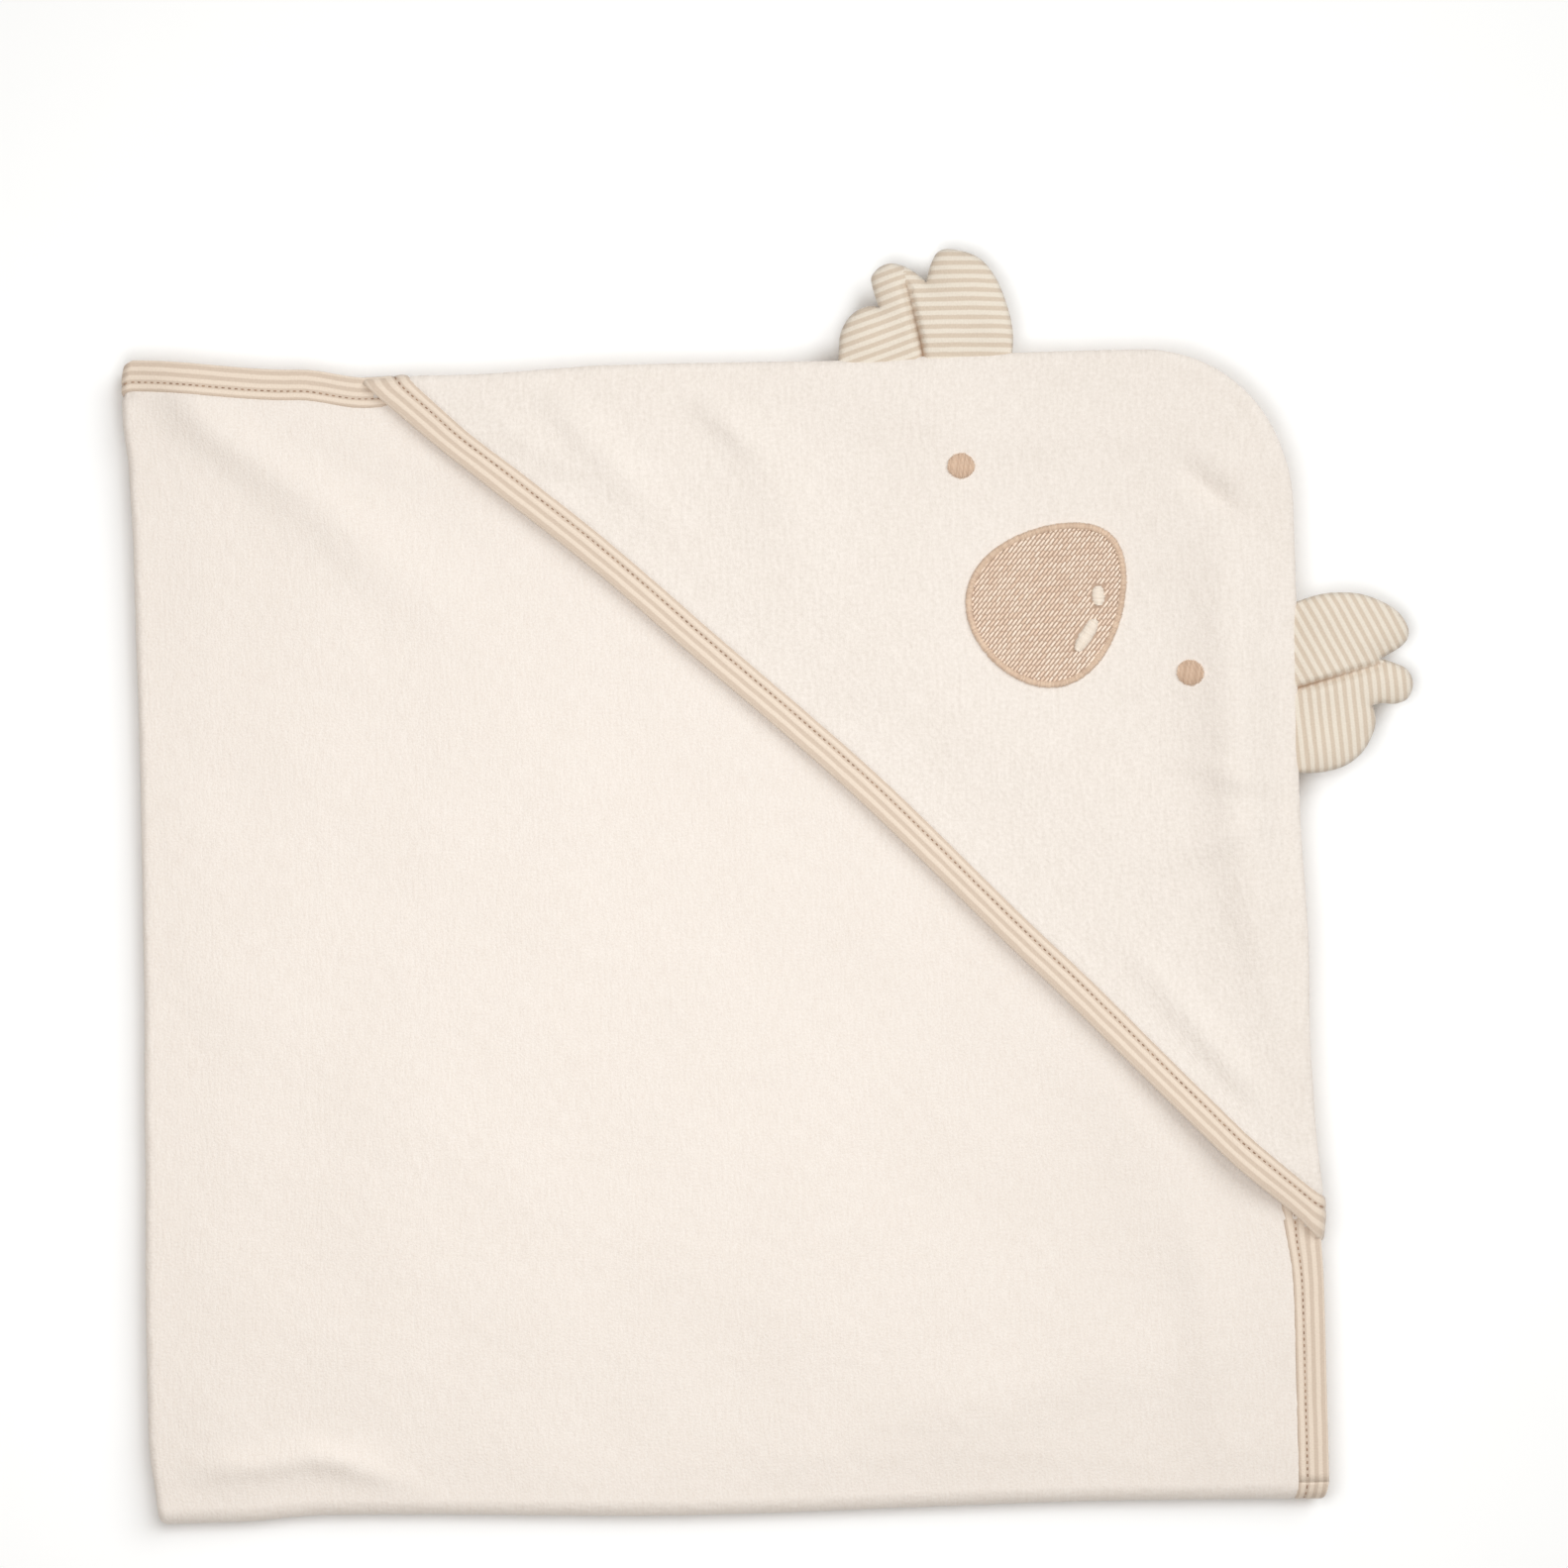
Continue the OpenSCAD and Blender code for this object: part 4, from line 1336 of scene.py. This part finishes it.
def ear(name, shape, side):
    """A stuffed ear: its front and back joined at the rim, its stripes turned at the pleat."""
    flat, faces, rim, pleat = ear_net(shape)
    front = puffed(flat, rim, pleat, shape["gap"])
    back = EAR_BACK * front
    on_rim = distance_to(rim, flat) < 1e-3
    front, back = np.where(on_rim, 0, front), np.where(on_rim, 0, back)
    count = len(flat)
    twin = np.where(on_rim, np.arange(count), count + np.cumsum(~on_rim) - 1)
    points = np.concatenate([place_ear(flat, front, side), place_ear(flat, -back, side)[~on_rim]])
    both = np.concatenate([flat, flat[~on_rim]])
    if side:
        faces = faces[:, ::-1]
    all_faces = np.concatenate([faces, twin[faces][:, ::-1]])
    spot = both[all_faces]
    over = right_of(pleat, spot.mean(1)) > 0
    uv = np.zeros(spot.shape)
    for half, degrees in zip((over, ~over), shape["stripes"]):
        uv[half] = turned(spot[half], -math.radians(degrees)) * [1, STRIPE / shape["pitch"]]
    piece = mesh(name, points, all_faces, uv.reshape(-1, 2), EAR_KNIT)
    hinge_blend(piece)
    # Painted shade along the pleat, stored in the crease attribute for the ear knit to darken by
    pleat_shade_strength = PLEAT_SHADE_DARK - PLEAT_SHADE_FADE * smooth(both[:, 1] / pleat[1, 1])
    pleat_shade = pleat_shade_strength * np.exp(-((distance_to([pleat], both) / PLEAT_SHADE_W) ** 2))
    crease = piece.data.attributes.new("crease", "FLOAT", "POINT")
    crease.data.foreach_set("value", pleat_shade.astype(np.float32))


ear("ear_top", EAR_TOP, False)
ear("ear_side", EAR_SIDE, True)


# ---- stage, light and camera

FRAME_W = 508.5  # the width of the view at the top of the pack
CAMERA_UP = 1800
SENSOR = 36
TILT = math.radians(-1.3)
AIM = (20.25, 49.8)
FLOOR_HALF = 12000
WORLD_COLOUR, WORLD_STRENGTH = (1, 0.94, 0.87, 1), 0.4
# Each light's place and size in metres, its watts and its colour
LIGHTS = {
    "key": ((2.0, 1.6, 2.6), 2.4, 67, (0.93, 0.975, 1)),
    "top": ((-0.05, 0, 0.65), 0.4, 2.41, (0.968, 0.985, 1)),
}


def add_object(name, data, place, turn):
    """A scene object for a camera's or a light's data."""
    made = bpy.data.objects.new(name, data)
    made.location = place
    made.rotation_euler = turn
    bpy.context.scene.collection.objects.link(made)
    return made


def camera():
    data = bpy.data.cameras.new("camera")
    data.sensor_width = SENSOR
    data.lens = SENSOR * (CAMERA_UP - STACK_T) / FRAME_W
    return add_object("camera", data, (AIM[0] * MM, AIM[1] * MM, CAMERA_UP * MM), (0, 0, TILT))


def area_light(name, place, size, power, colour):
    """A square light that faces the pack."""
    data = bpy.data.lights.new(name, "AREA")
    data.size = size
    data.energy = power
    data.color = colour
    turn = (-Vector(place)).to_track_quat("-Z", "Y").to_euler()
    add_object(name, data, place, turn).visible_camera = False


def stage():
    """The floor, the surrounding light and plain colours."""
    corner = FLOOR_HALF * np.array([[-1, -1, 0], [1, -1, 0], [1, 1, 0], [-1, 1, 0]])
    floor = mesh("floor", corner, [[0, 1, 2, 3]], corner[:, :2], FLOOR, False)
    world = bpy.data.worlds.new("world")
    world.use_nodes = True
    background = world.node_tree.nodes["Background"].inputs
    background["Color"].default_value = WORLD_COLOUR
    background["Strength"].default_value = WORLD_STRENGTH
    bpy.context.scene.world = world
    bpy.context.scene.view_settings.view_transform = "Standard"


bpy.context.scene.camera = camera()
stage()
for light_name, settings in LIGHTS.items():
    area_light(light_name, *settings)


# ---- what stands for what


# By material slot, each piece and the CAD nodes that it replaces
PIECES = {
    "terry": {
        "towel_upper_layers": "quarter_hood quarter_side side_bend_upper",
        "towel_lower_layers": "quarter_foot quarter_opposite side_bend_lower",
        "foot_roll_outer": "foot_bend_outer",
        "foot_roll_inner": "foot_bend_inner",
        "hood_seam_allowance": "hood_seam",
    },
    "hood_terry": {"hood_terry_panel": "hood_panel"},
    "binding": {
        "binding_upper": "edge_binding_side side_bend_upper_binding",
        "binding_side": "edge_binding_hood",
        "binding_lower": "edge_binding_foot edge_binding_opposite side_bend_lower_binding",
        "binding_foot_outer": "foot_bend_outer_binding",
        "binding_foot_inner": "foot_bend_inner_binding",
        "hood_lip_tape": "hood_binding",
        "ear_top": "ear_top_front ear_top_back ear_top_filling",
        "ear_side": "ear_side_front ear_side_back ear_side_filling",
    },
    "topstitch": {
        "topstitch_upper": "edge_topstitch_side",
        "topstitch_side": "edge_topstitch_hood",
        "topstitch_lower": "edge_topstitch_foot edge_topstitch_opposite",
        "topstitch_foot_outer": "",
        "topstitch_foot_inner": "",
        "hood_lip_stitching": "hood_topstitch",
    },
    "backing": {"nose_backing": "embroidery_backing", "eye_top_backing": "", "eye_side_backing": ""},
    "nose_thread": {"nose_fill_threads": "nose_fill", "nose_underlay": ""},
    "border_thread": {"nose_border_threads": "nose_border"},
    "highlight_thread": {"nose_highlight_threads": "nose_highlights"},
    "eye_thread": {
        "eye_top_threads": "eye_top", "eye_side_threads": "eye_side",
        "eye_top_underlay": "", "eye_side_underlay": "",
    },
}
for slot, pieces in PIECES.items():
    for piece_name, nodes in pieces.items():
        if nodes:
            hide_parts(*nodes.split())
